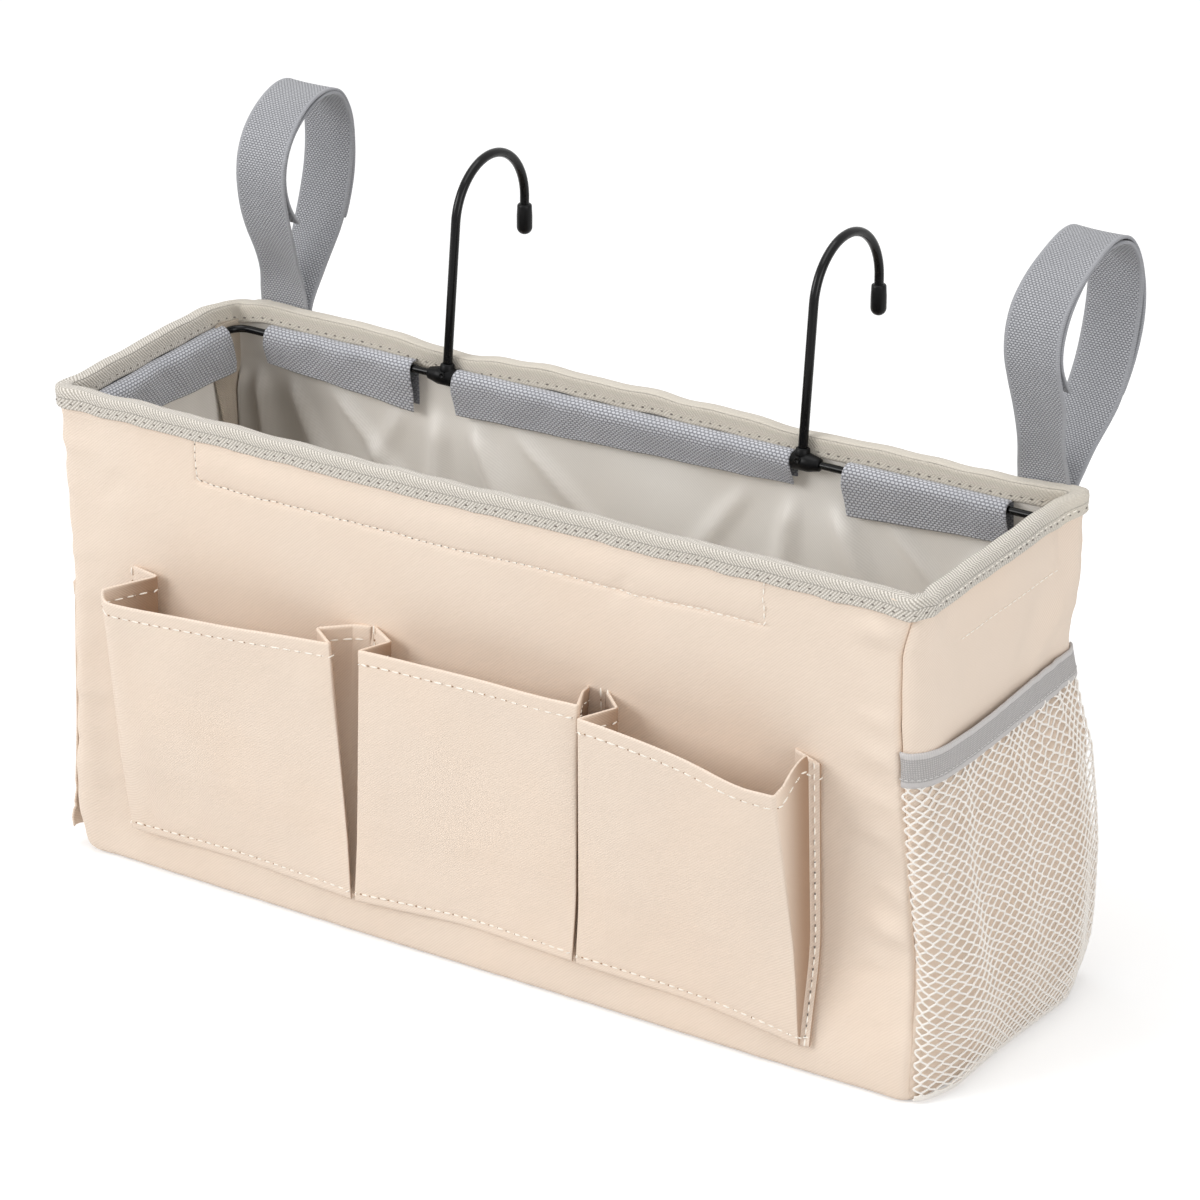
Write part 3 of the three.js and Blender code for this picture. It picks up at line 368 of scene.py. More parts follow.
def join_pieces(name, pieces):
    """One mesh from several, with their UVs kept."""
    points, faces, face_uv, start = [], [], [], 0
    for piece in pieces:
        mesh = piece.data
        points += [tuple(vertex.co) for vertex in mesh.vertices]
        layer = mesh.uv_layers.active.data if mesh.uv_layers else None
        for face in mesh.polygons:
            faces.append([start + index for index in face.vertices])
            face_uv += [tuple(layer[i].uv) if layer else (0.0, 0.0) for i in face.loop_indices]
        start += len(mesh.vertices)
        bpy.data.objects.remove(piece)
    return mesh_object(name, points, faces, face_uv)


# Tubes and turned parts
def frames_along(path, closed=False):
    """Two directions square to a path at each of its points, with no twist."""
    if closed:
        ahead = unit(np.roll(path, -1, 0) - np.roll(path, 1, 0))
    else:
        ahead = unit(np.gradient(path, axis=0))
    side = np.zeros_like(path)
    start = np.array([1.0, 0, 0]) if abs(ahead[0][0]) < 0.9 else np.array([0, 0, 1.0])
    for index in range(len(path)):
        start = unit(start - ahead[index] * np.dot(start, ahead[index]))
        side[index] = start
    return side, np.cross(ahead, side)


def ring_faces(count, sides, closed=False):
    """Four-sided faces between rings of points."""
    faces = []
    for ring in range(count if closed else count - 1):
        following = (ring + 1) % count
        for index in range(sides):
            onward = (index + 1) % sides
            faces.append((ring * sides + index, ring * sides + onward,
                          following * sides + onward, following * sides + index))
    return faces


def tube(name, path, radius, sides, closed=False):
    """A round bar along a path, with rounded ends where it is open."""
    path = np.asarray(path, float)
    side, other = frames_along(path, closed)
    radii = np.broadcast_to(radius, len(path)).astype(float)
    angle = np.arange(sides) * 2 * math.pi / sides
    circle = np.stack([np.cos(angle), np.sin(angle)], -1)
    rings = (path[:, None] + radii[:, None, None]
             * (circle[None, :, :1] * side[:, None] + circle[None, :, 1:] * other[:, None]))
    travelled = distances(path)
    points = list(rings.reshape(-1, 3))
    faces, face_uv = ring_faces(len(path), sides, closed), []
    travelled = np.append(travelled, travelled[-1] + np.linalg.norm(path[0] - path[-1]))
    for ring in range(len(faces) // sides):
        low, high = travelled[ring:ring + 2]
        for index in range(sides):
            a, b = (step / sides * 2 * math.pi * radii[ring] for step in (index, index + 1))
            face_uv += [(a, low), (b, low), (b, high), (a, high)]
    if not closed:
        for end, first in ((0, 0), (len(path) - 1, (len(path) - 1) * sides)):
            ids = list(range(first, first + sides))
            faces.append(tuple(reversed(ids)) if end == 0 else tuple(ids))
            face_uv += [(0.0, 0.0)] * sides
    return mesh_object(name, points, faces, face_uv)


def turned(name, profile, centre, axis, sides=32):
    """A shape turned on a lathe: profile is (distance along the axis, radius)."""
    axis = unit(np.asarray(axis, float))
    centre = np.asarray(centre, float)
    path = np.array([centre + axis * along for along, _ in profile])
    start = np.array([1.0, 0, 0]) if abs(axis[0]) < 0.9 else np.array([0, 0, 1.0])
    side = unit(start - axis * np.dot(start, axis))
    other = np.cross(axis, side)
    angle = np.arange(sides) * 2 * math.pi / sides
    points, faces = [], ring_faces(len(profile), sides)
    for place, (_, radius) in zip(path, profile):
        for turn in angle:
            points.append(place + radius * (math.cos(turn) * side + math.sin(turn) * other))
    last = (len(profile) - 1) * sides
    faces.append(tuple(reversed(range(sides))))
    faces.append(tuple(range(last, last + sides)))
    uv = [(0.0, 0.0)] * sum(len(face) for face in faces)
    return mesh_object(name, points, faces, uv)


def rounded_profile(points, radius, steps=5):
    """A profile line whose inner corners are rounded."""
    points = [np.array(point, float) for point in points]
    line = [points[0]]
    for before, corner, after in zip(points, points[1:], points[2:]):
        into, out = before - corner, after - corner
        reach = min(radius, np.linalg.norm(into) * 0.45, np.linalg.norm(out) * 0.45)
        a, b = corner + unit(into) * reach, corner + unit(out) * reach
        for share in np.linspace(0, 1, steps):
            line.append((1 - share) ** 2 * a + 2 * share * (1 - share) * corner + share ** 2 * b)
    line.append(points[-1])
    return np.array(line)


# Finishes
def linear(red, green, blue):
    """A colour read on a 0 to 255 scale, as the shader wants it."""
    colour = []
    for share in (red / 255, green / 255, blue / 255):
        colour.append(share / 12.92 if share <= 0.04045 else ((share + 0.055) / 1.055) ** 2.4)
    return colour + [1.0]


class Shade:
    """A number in a shader. Arithmetic on it adds the Math nodes."""

    def __init__(self, finish, socket):
        self.finish, self.socket = finish, socket

    def math(self, operation, *values):
        sockets = {index: value for index, value in enumerate(values)}
        return self.finish.node("ShaderNodeMath", {"operation": operation}, sockets)

    def __add__(self, other):
        return self.math("ADD", self, other)

    def __sub__(self, other):
        return self.math("SUBTRACT", self, other)

    def __rsub__(self, other):
        return self.math("SUBTRACT", other, self)

    def __mul__(self, other):
        return self.math("MULTIPLY", self, other)

    def __truediv__(self, other):
        return self.math("DIVIDE", self, other)

    __radd__ = __add__
    __rmul__ = __mul__

    def wave(self):
        """A smooth ridge from 0 to 1 for each whole number."""
        return self.math("COSINE", self * (2 * math.pi)) * 0.5 + 0.5

    def part(self):
        return self.math("FRACT", self)

    def whole(self):
        return self.math("FLOOR", self)

    def size(self):
        return self.math("ABSOLUTE", self)

    def clear(self, low, high):
        """0 below low, 1 above high and smooth between."""
        sockets = {"Value": self, "From Min": low, "From Max": high}
        return self.finish.node("ShaderNodeMapRange", {"interpolation_type": "SMOOTHSTEP"}, sockets)


class Finish:
    """A material or the world with one shader, whose nodes all come from node()."""

    def __init__(self, name, owner="materials", shader="ShaderNodeBsdfPrincipled", **shader_values):
        self.material = getattr(bpy.data, owner).new(name)
        self.material.use_nodes = True
        self.tree = self.material.node_tree
        self.tree.nodes.clear()
        ending = "ShaderNodeOutputWorld" if owner == "worlds" else "ShaderNodeOutputMaterial"
        self.shader = self.tree.nodes.new(shader)
        self.tree.links.new(self.shader.outputs[0], self.tree.nodes.new(ending).inputs[0])
        for name, value in shader_values.items():
            self.set(name.replace("_", " ").title().replace("Ior", "IOR"), value)

    def set(self, name, value):
        self.feed(self.shader.inputs[name], value)

    def feed(self, socket, value):
        if isinstance(value, Shade):
            self.tree.links.new(value.socket, socket)
        else:
            socket.default_value = value

    def node(self, kind, settings=None, sockets=None, output=0):
        made = self.tree.nodes.new(kind)
        for name, value in (settings or {}).items():
            setattr(made, name, value)
        for name, value in (sockets or {}).items():
            self.feed(made.inputs[name], value)
        return Shade(self, made.outputs[output])

    def cloth_place(self):
        """The distances along and up the cloth, from its UV map."""
        place = self.node("ShaderNodeUVMap", {"uv_map": "UVMap"})
        return [self.split(place, axis) for axis in (0, 1)]

    def split(self, vector, axis):
        """One of a vector's three numbers."""
        return self.node("ShaderNodeSeparateXYZ", None, {0: vector}, axis)

    def axis(self, index):
        return self.split(self.solid_place(), index)

    def solid_place(self):
        return self.node("ShaderNodeTexCoord", None, None, "Object")

    def noise(self, size, detail=2.0, rough=0.5):
        """Uneven patches about size across, from 0 to 1."""
        sockets = {"Vector": self.solid_place(), "Scale": 1 / size, "Detail": detail, "Roughness": rough}
        return self.node("ShaderNodeTexNoise", None, sockets, "Fac")

    def blend(self, share, first, second):
        """A colour between two, each of them a shade or read on a 0 to 255 scale."""
        settings = {"data_type": "RGBA", "clamp_factor": True}
        ends = [colour if isinstance(colour, Shade) else linear(*colour) for colour in (first, second)]
        return self.node("ShaderNodeMix", settings, {0: share, 6: ends[0], 7: ends[1]}, 2)

    def seen_white(self):
        """1 for what the camera, mirrors and glass see, and 0 for what lights the object."""
        rays = [self.node("ShaderNodeLightPath", None, None, f"Is {kind} Ray")
                for kind in ("Camera", "Glossy", "Transmission")]
        return rays[0].math("MAXIMUM", rays[0].math("MAXIMUM", rays[0], rays[1]), rays[2])

    def bump(self, height, depth, under=None, strength=1.0):
        sockets = {"Height": height, "Distance": depth, "Strength": strength}
        if under is not None:
            sockets["Normal"] = under
        return self.node("ShaderNodeBump", None, sockets)


def twill(u, v, pitch, lean, thread):
    """Slanting ribs: how high the cloth stands, from 0 to 1. lean is up per along."""
    size = math.hypot(1, lean)
    across = (u * lean - v) / (size * pitch)
    along = (u + v * lean) / (size * thread)
    rib = across.wave()
    twist = (along + across.whole() * 0.5).wave()
    return rib * 0.8 + rib * twist * 0.2


def shell_cloth():
    """Cream twill, a little uneven and aged, with painted shade deep in the pockets' folds."""
    cloth = Finish("shell_cloth", specular_ior_level=0.2, sheen_weight=0.1, sheen_roughness=0.5)
    u, v = cloth.cloth_place()
    wobble = cloth.noise(9 * MM, 2) * (0.35 * MM)
    weave = twill(u + wobble, v, pitch=0.92 * MM, lean=0.9, thread=1.2 * MM)
    fibre = cloth.noise(0.5 * MM, 3)
    patches = cloth.noise(70 * MM, 3)
    faint = cloth.noise(12 * MM, 3)
    ribbed = cloth.blend(weave * 0.8 + fibre * 0.2, (229, 211, 194), (241, 225, 209))
    shaded = cloth.blend(patches.clear(0.4, 0.7) * 0.35, ribbed, (238, 217, 197))
    aged = cloth.blend((faint - 0.4) * 0.3, shaded, (230, 212, 196))
    # Painted shade: deep in the pockets' folds, where the cloth faces sideways in front of the wall, its
    # colour is darkened to stand for the shade there
    in_front = cloth.axis(1).clear(-88 * MM, -63 * MM) * (1 - cloth.axis(1).clear(-59.5 * MM, -58.5 * MM))
    sideways = cloth.split(cloth.node("ShaderNodeNewGeometry", None, None, "Normal"), 0).size()
    off_corners = 1 - cloth.axis(0).size().clear(172 * MM, 178 * MM)
    painted_fold_shade = sideways.clear(0.45, 0.85) * in_front * off_corners
    cloth.set("Base Color", cloth.blend(painted_fold_shade, aged, (164, 134, 110)))
    cloth.set("Roughness", 0.8 - weave * 0.1 + (faint - 0.5) * 0.1)
    soft = cloth.bump(faint, 0.3 * MM, strength=0.35)
    cloth.set("Normal", cloth.bump(weave + fibre * 0.3, 0.07 * MM, soft, 0.6))
    return cloth.material


def lining_cloth():
    """Smooth pale cloth with soft creases, and painted shade in the rear left corner."""
    cloth = Finish("lining_cloth", specular_ior_level=0.45, sheen_weight=0.1, sheen_roughness=0.45)
    u, v = cloth.cloth_place()
    weave = twill(u, v, pitch=0.9 * MM, lean=-0.9, thread=1.2 * MM)
    creases = cloth.noise(18 * MM, 2)
    broad = cloth.noise(60 * MM, 2)
    fibre = cloth.noise(0.6 * MM, 3)
    base = cloth.blend(weave * 0.6 + fibre * 0.3, (234, 229, 222), (248, 244, 237))
    mellow = cloth.blend(broad.clear(0.35, 0.7) * 0.4, base, (236, 228, 218))
    # Painted shade: the rear left corner lies in deep folds, so its colour is darkened there, most of all
    # below the rim
    corner = (1 - cloth.axis(0).clear(-166 * MM, -134 * MM)) * cloth.axis(1).clear(40 * MM, 50 * MM)
    below = 1 - cloth.axis(2).clear(164 * MM, 186 * MM) * 0.6
    cloth.set("Base Color", cloth.blend(corner * below * 0.85, mellow, (150, 143, 134)))
    cloth.set("Roughness", 0.46 + fibre * 0.14 + weave * -0.08)
    soft = cloth.bump(creases, 0.6 * MM, strength=0.3)
    cloth.set("Normal", cloth.bump(weave, 0.03 * MM, soft, 0.5))
    return cloth.material


def herringbone_tape(name, light, dark, rear_shade, band, pitch):
    """Ribs that slant one way and then the other in bands along the tape, darker and browner at the rear with
    painted shade.
    """
    tape = Finish(name, specular_ior_level=0.2, sheen_weight=0.2, sheen_roughness=0.6)
    u, v = tape.cloth_place()
    across = v / band
    turned_back = (across * 0.5).part().clear(0.48, 0.52) * 2 - 1
    wobble = (tape.noise(5 * MM, 2) - 0.5) * 0.4
    phase = (u + turned_back * (v * 0.9)) / pitch + wobble
    thread = (v / (0.75 * MM) + phase.whole() * 0.5).wave()
    groove = (across.part() - 0.5).size().clear(0.45, 0.5)
    fibre = tape.noise(0.35 * MM, 3)
    height = phase.wave() * (thread * 0.55 + 0.45) * (1 - groove * 0.12)
    # Painted shade: the rear run of the tape is blended towards a darker, browner colour
    rear = tape.axis(1).clear(20 * MM, 48 * MM)
    colour = tape.blend(height * 1.3 + fibre * 0.35 - 0.2, dark, light)
    tape.set("Base Color", tape.blend(rear * 0.85, colour, rear_shade))
    tape.set("Roughness", 0.95 - height * 0.12)
    tape.set("Normal", tape.bump(height + fibre * 0.45, 0.22 * MM, strength=0.9))
    return tape.material


def loop_cloth(name, light, mid, dark, pitch, selvedge=None):
    """Rows of small loops in staggered order, with smooth selvedges if a width is given."""
    cloth = Finish(name, specular_ior_level=0.2, sheen_weight=0.3, sheen_roughness=0.55)
    u, v = cloth.cloth_place()
    row = v / (pitch * 0.62)
    shifted = u / pitch + row.whole() * 0.5 + (cloth.noise(2.2 * MM, 2) - 0.5) * 0.35
    dot = (shifted.part() * (1 - shifted.part()) * 4) * (row.part() * (1 - row.part()) * 4)
    loops = dot.clear(0.12, 0.75)
    fuzz = cloth.noise(0.4 * MM, 3)
    patches = cloth.noise(24 * MM, 3)
    if selvedge:
        edge = (u / selvedge - 0.5).size().clear(0.452, 0.462)
        cord = (v / (0.7 * MM)).wave()
        loops = loops * (1 - edge) + edge * (cord * 0.35 + 0.3)
    low = cloth.blend(fuzz, dark, mid)
    colour = cloth.blend(loops * 0.9, low, light)
    cloth.set("Base Color", cloth.blend(patches.clear(0.4, 0.75) * 0.25, colour, mid))
    cloth.set("Roughness", 0.95 - loops * 0.12)
    cloth.set("Normal", cloth.bump(loops + fuzz * 0.4, 0.3 * MM, strength=0.9))
    return cloth.material


def elastic_cloth():
    """Ribbed elastic with a plain upper rim and lower lip."""
    cloth = Finish("elastic_cloth", specular_ior_level=0.25, sheen_weight=0.2, sheen_roughness=0.5)
    u, v = cloth.cloth_place()
    column = (u / (0.95 * MM)).wave()
    row = (v / (0.8 * MM)).wave()
    fibre = cloth.noise(0.35 * MM, 3)
    rim = v.clear(10.2 * MM, 10.6 * MM)
    lip = 1 - v.clear(1.6 * MM, 2.0 * MM)
    grid = column * row * (1 - rim) * (1 - lip) + lip * 0.6 + rim * (column * 0.4 + 0.6)
    body = cloth.blend(grid * 0.8 + fibre * 0.3, (160, 157, 156), (212, 208, 206))
    cloth.set("Base Color", cloth.blend(rim * 0.4, body, (204, 200, 198)))
    cloth.set("Roughness", 0.9 - grid * 0.15)
    cloth.set("Normal", cloth.bump(grid + fibre * 0.3, 0.22 * MM, strength=0.9))
    return cloth.material


def net_yarn():
    """Pale yarn."""
    yarn = Finish("net_yarn", specular_ior_level=0.3, sheen_weight=0.2, sheen_roughness=0.5)
    strand = yarn.noise(0.25 * MM, 3)
    patches = yarn.noise(20 * MM, 2)
    colour = yarn.blend(strand, (244, 238, 230), (253, 250, 245))
    yarn.set("Base Color", yarn.blend(patches * 0.3, colour, (245, 237, 228)))
    yarn.set("Roughness", 0.7 + strand * 0.2)
    yarn.set("Normal", yarn.bump(strand, 0.08 * MM, strength=0.7))
    return yarn.material


def sewing_thread(name, low, high):
    """Thread, or the painted shade of a needle hole, between two colours."""
    thread = Finish(name, specular_ior_level=0.35)
    strand = thread.noise(0.3 * MM, 2)
    thread.set("Base Color", thread.blend(strand, low, high))
    thread.set("Roughness", 0.6 + strand * 0.2)
    thread.set("Normal", thread.bump(strand, 0.06 * MM, strength=0.6))
    return thread.material


def coated_black(name, roughness, coat, grain, depth):
    """Black coated wire, moulding or rubber, with faint scuffs."""
    black = Finish(name, specular_ior_level=0.16, coat_roughness=0.06)
    orange_peel = black.noise(grain, 3)
    scuffs = black.noise(3.5 * MM, 5, rough=0.75).clear(0.56, 0.72)
    dust = black.noise(11 * MM, 4)
    tone = black.blend(scuffs * 0.4 + dust * 0.1, (5, 5, 6), (24, 24, 26))
    black.set("Base Color", tone)
    black.set("Roughness", roughness + scuffs * 0.2 + dust * 0.06)
    black.set("Coat Weight", coat * (1 - scuffs * 0.5) if coat else 0.0)
    black.set("Normal", black.bump(orange_peel, depth, strength=0.6))
    return black.material


def board_sheet():
    """Pale moulded sheet."""
    board = Finish("board_sheet", specular_ior_level=0.4)
    grain = board.noise(1.2 * MM, 3)
    board.set("Base Color", board.blend(grain, (224, 222, 216), (236, 234, 229)))
    board.set("Roughness", 0.5 + grain * 0.15)
    board.set("Normal", board.bump(grain, 0.05 * MM, strength=0.4))
    return board.material


FINISHES = {
    "shell": shell_cloth(),
    "lining": lining_cloth(),
    "binding": herringbone_tape("binding_tape", light=(246, 240, 231), dark=(170, 163, 152),
                                rear_shade=(218, 210, 196), band=4.1 * MM, pitch=1.45 * MM),
    # The corner tapes are darker and browner than the rim tape: painted shade of the box's inner corners
    "seam_tape": herringbone_tape("seam_tape", light=(196, 184, 168), dark=(122, 110, 96),
                                  rear_shade=(196, 181, 163), band=3.0 * MM, pitch=1.2 * MM),
    "sleeve": loop_cloth("sleeve_loop_cloth", light=(216, 217, 223), mid=(156, 157, 163),
                         dark=(112, 113, 119), pitch=1.9 * MM),
    "webbing": loop_cloth("strap_webbing", light=(196, 197, 201), mid=(146, 147, 152),
                          dark=(98, 99, 104), pitch=1.5 * MM, selvedge=23 * MM),
    "grip": loop_cloth("grip_tape", light=(150, 152, 158), mid=(128, 130, 137),
                       dark=(92, 94, 101), pitch=1.6 * MM),
    "elastic": elastic_cloth(),
    "net": net_yarn(),
    "pale_thread": sewing_thread("pale_thread", (252, 244, 232), (255, 252, 244)),
    "grey_thread": sewing_thread("grey_thread", (122, 122, 126), (150, 150, 154)),
    # The tan and the dark needle hole finishes below are painted shade of needle holes
    "tan_hole_shade": sewing_thread("needle_hole_tan", (150, 120, 94), (172, 142, 116)),
    "light_thread": sewing_thread("light_thread", (196, 194, 192), (222, 220, 218)),
    "needle_hole": sewing_thread("needle_hole", (110, 104, 98), (134, 127, 120)),
    "wire": coated_black("black_wire", roughness=0.2, coat=0.16, grain=0.8 * MM, depth=0.015 * MM),
    "plastic": coated_black("black_moulding", roughness=0.36, coat=0.0, grain=0.5 * MM, depth=0.03 * MM),
    "rubber": coated_black("black_rubber", roughness=0.32, coat=0.08, grain=0.6 * MM, depth=0.03 * MM),
    "board": board_sheet(),
}

# Walls, lining and floor
# The seams that hold the sleeves show outside as rectangles, down to this height
SLEEVE_LOW_Z = 178.5 * MM
# Where the grid is finer round a sewn line
STITCH_CELLS = np.array([-2, -1.3, -0.8, -0.4, 0, 0.4, 0.8, 1.3, 2]) * MM


def finer(places, lines):
    """Grid places with more of them round each sewn line."""
    extra = np.concatenate([line + STITCH_CELLS for line in lines])
    extra = extra[(extra > places[0]) & (extra < places[-1])]
    ends = (places[0], places[-1])
    kept = [place for place in places if np.abs(extra - place).min() > 0.5 * MM or place in ends]
    return np.sort(np.concatenate([kept, extra]))


def wall_rows(top, low_turn):
    """The wall's profile from under its foot to its top: heights and how far in it has turned."""
    turn = np.linspace(0, 1, 7)[:-1] * math.pi / 2
    upright = finer(np.linspace(low_turn, top, 79), [SLEEVE_LOW_Z])
    low = SHELL_CLOTH / 2
    z = np.concatenate([low + (low_turn - low) * (1 - np.cos(turn)), upright])
    inset = np.concatenate([low_turn * (1 - np.sin(turn)), np.zeros(len(upright))])
    return z, inset


# The front right seam wanders round its corner: heights, and how far it lies along the loop
WANDER_Z = np.array([0, 31, 80, 150, 179, 196, 205]) * MM
WANDER = np.array([0.3, -0.8, -4.0, -8.2, -8.0, -3.2, 0]) * MM


def seam_along(seam, z):
    """Where a corner's seam lies along the loop at some heights."""
    return seam + (np.interp(z, WANDER_Z, WANDER) if seam == SEAMS[1] else 0 * z)


def seam_dents(distance, z, seed, groove, turn_in, reach, tucked):
    """How cloth dips into a sewn seam and puckers beside it: the depth of the groove, how much the
    cloth rolls in towards it, over what distance, and how far the tucks beside it stand out."""
    pucker = waves(z, 0 * z, 9 * MM, seed, 5) * np.exp(-distance / (5 * MM)) * 0.16 * MM
    tuck = waves(z, distance * 0.8, 17 * MM, seed + 1, 5) * np.exp(-distance / (14 * MM)) * 0.4 * MM
    folds = np.maximum(waves(z * 1.2 - distance * 0.3, distance * 0.25, 15 * MM, seed + 2, 5) + 0.2, 0)
    tuck = tuck + tucked * MM * folds * swell(distance, 9 * MM, 9 * MM) * smooth(4 * MM, 20 * MM, z)
    turn_in = turn_in * MM * np.exp(-distance / (reach * MM)) * smooth(15 * MM, 80 * MM, z)
    roll = swell(distance, 3.2 * MM, 2.4 * MM) * 0.3 * MM - turn_in
    groove = groove * MM * np.exp(-distance / (0.9 * MM)) * (0.4 + 0.6 * smooth(10 * MM, 80 * MM, z))
    return pucker + tuck + roll - groove


# The wall on which each sleeve is sewn
SLEEVE_WALLS = {"rear_left": "back", "rear_middle": "back", "rear_right": "back",
                "left_end": "left_end", "right_end": "right_end", "front": "front"}


def sleeve_run(name):
    """The loop distances of a sleeve's two ends."""
    wall = SLEEVE_WALLS[name]
    low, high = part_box(f"sleeve_{name}")
    axis = 1 if wall.endswith("_end") else 0
    sign = 1 if wall in ("front", "right_end") else -1
    return sorted(sum(WALLS[wall]) / 2 + sign * edge[axis] for edge in (low, high))


def stitched_boxes(wall):
    """The loop distances between which a wall's sleeves are sewn on."""
    return [sleeve_run(name) for name, its_wall in SLEEVE_WALLS.items() if its_wall == wall]


# How deep a sleeve's seam draws the wall in below it and beside it, and how far the cloth puffs
# out between. The right end shows its seam only faintly, with no sides.
LOW_SEAM_DEPTH = {"front": 0.75 * MM, "right_end": 0.1 * MM, "back": 0.75 * MM, "left_end": 0.75 * MM}
SIDE_SEAM_DEPTH = {"front": 0.65 * MM, "right_end": 0, "back": 0.65 * MM, "left_end": 0.65 * MM}
SEAM_PUFF = 0.9 * MM
STITCH_REACH = 1 * MM


def stitch_dents(wall, along, z):
    """How the seams that hold the sleeves shape the wall."""
    dent = np.zeros(np.broadcast(along, z).shape)
    upwards = smooth(SLEEVE_LOW_Z - MM, SLEEVE_LOW_Z + MM, z)
    puff = np.sin(np.clip((z - SLEEVE_LOW_Z) / (BINDING_LOW - SLEEVE_LOW_Z), 0, 1) * math.pi)
    pucker = 1 + 0.5 * waves(along, z, 7 * MM, 21, 4)
    for low, high in stitched_boxes(wall):
        inside = smooth(low - 2 * MM, low + 2 * MM, along) * smooth(high + 2 * MM, high - 2 * MM, along)
        dent = dent - LOW_SEAM_DEPTH[wall] * swell(z, SLEEVE_LOW_Z, STITCH_REACH) * inside * pucker
        for edge in (low, high):
            dent = dent - SIDE_SEAM_DEPTH[wall] * swell(along, edge, STITCH_REACH) * upwards
        dent = dent + SEAM_PUFF * puff * inside
    return dent


# Creases by wall: distance along it from its middle, height, half length, rise per run, reach and
# depth, in millimetres
CREASES = {"front": [(183, 101, 11, 0.05, 2.2, 1.0), (176, 47, 15, 0.2, 2.6, 0.9),
                     (186, 27, 9, 0.35, 2.0, 0.8), (187, 60, 8, -0.1, 2.0, 0.7),
                     (-172, 168, 10, 0.8, 5, 0.8), (66, 180, 7, 1.6, 3, 1.0)],
           "right_end": [(37, 160, 20, 1.1, 5, -1.4), (24, 166, 16, 1.2, 5, 1.0),
                         (-44, 168, 12, -1.4, 4, 1.0), (-36, 154, 14, -1.0, 5, -0.9)]}


def crease_dents(wall, along, z):
    """How a wall's single creases shape it."""
    begin, end = WALLS[wall]
    dent = np.zeros(np.broadcast(along, z).shape)
    for at, high, half, slope, reach, depth in CREASES.get(wall, ()):
        run, rise = along - (begin + end) / 2 - at * MM, z - high * MM
        size = math.hypot(1, slope)
        ahead, off = (run + rise * slope) / size, (rise - run * slope) / size
        dent = dent - depth * MM * swell(off, 0, reach * MM) * swell(ahead, 0, half * MM)
    return dent


# At each wall's first and last seam, in millimetres: the groove's depth, how deep and how far the
# cloth rolls in, and how far its tucks stand out
SEAM_DEPTHS = {"front": ((0.4, 0.2, 4, 0.4), (1.3, 0.8, 5, 1.7)),
               "right_end": ((1.3, 2.4, 2.0, 0.8), (1.4, 0.3, 4, 0.5)),
               "back": ((1.4, 0.3, 4, 0.5), (1.2, 0.3, 4, 0.5)),
               "left_end": ((1.2, 0.3, 4, 0.5), (0.4, 0.2, 4, 0.4))}
WALL_BOW = {"front": 1.3 * MM, "right_end": 0.9 * MM, "back": 0.8 * MM, "left_end": 0.9 * MM}


def shell_stand_off(wall, along, z, share):
    """How far the shell cloth stands out from its flat place."""
    begin, end = WALLS[wall]
    order = list(WALLS).index(wall)
    seed = 3 + order
    distance = np.minimum(share, 1 - share) * (end - begin)
    sewn = smooth(0, 9 * MM, distance)
    free = smooth(0, 14 * MM, z) * smooth(WALL_TOP, WALL_TOP - 10 * MM, z) * sewn
    out = WALL_BOW[wall] * np.sin(math.pi * share) * np.sin(math.pi * np.clip(z / WALL_TOP, 0, 1))
    out = out + waves(along, z, 60 * MM, seed, 8) * 0.4 * MM * free
    out = out + waves(along * 1.3, z * 0.7, 24 * MM, seed + 9, 8) * 0.07 * MM * free
    tucks = waves(along, 0 * z, 14 * MM, seed + 30, 5) * np.exp(-(WALL_TOP - z) / (14 * MM)) * 0.18 * MM
    low_tucks = waves(along, 0 * z, 14 * MM, seed + 31, 5) * np.exp(-z / (12 * MM)) * 0.25 * MM
    out = out + (tucks + low_tucks) * sewn
    for end_of_wall, half in enumerate((share < 0.5, share >= 0.5)):
        seam_seed = 70 + 3 * ((order + end_of_wall) % 4)
        dents = seam_dents(distance, z, seam_seed, *SEAM_DEPTHS[wall][end_of_wall])
        out = out + np.where(half, dents, 0)
    return out + crease_dents(wall, along, z) + stitch_dents(wall, along, z)


def shell_wall(wall):
    """An outer wall: turned in at its foot, with a finer grid beside its seams and stitches."""
    begin, end = WALLS[wall]
    z, inset = wall_rows(WALL_TOP, FOOT_TURN)
    columns = int(round((end - begin) / WALL_CELL)) + 1
    places = finer(np.linspace(begin, end, columns), sum(stitched_boxes(wall), []))
    share = (places - begin) / (end - begin)
    beside = share[1] * np.array([0.15, 0.3, 0.5, 0.75])
    share = np.sort(np.concatenate([share, beside, 1 - beside]))
    z_grid, share_grid = np.meshgrid(z, share, indexing="ij")
    inset_grid = np.repeat(inset[:, None], len(share), 1)
    left, right = seam_along(begin, z_grid), seam_along(end, z_grid)
    along = left + (right - left) * share_grid
    out = shell_stand_off(wall, along, z_grid, share_grid) - SHELL_CLOTH / 2
    foot = smooth(0, FOOT_TURN, z_grid)
    points = on_wall(along, z_grid, out * foot - SHELL_CLOTH / 2 * (1 - foot) - inset_grid)
    return Cloth(settle(points), np.stack([along, z_grid], -1), SHELL_CLOTH)


# Soft folds of the rear lining that fall from the gaps between the sleeves: X, lean, reach, depth
# and lowest height, in millimetres
LINING_FOLDS = [
    (-193, 0.02, 3.2, 6.0, 40), (-183, 0.12, 2.8, 6.2, 50), (-172, 0.4, 2.8, 5.0, 80),
    (-161, 0.9, 3.2, 3.6, 110), (-101, -0.5, 3.2, 3.0, 118), (-92, -0.05, 3.2, 4.6, 108),
    (-82, 0.4, 3.6, 5.4, 112), (-72, 1.0, 3.6, 3.4, 122), (66, -0.7, 3.4, 3.0, 118),
    (77, -0.15, 3.4, 4.6, 106), (88, 0.4, 3.6, 4.6, 110), (99, 1.0, 3.4, 3.0, 122),
    (172, -0.5, 3.4, 3.4, 110), (186, -0.1, 3.6, 4.4, 60)]


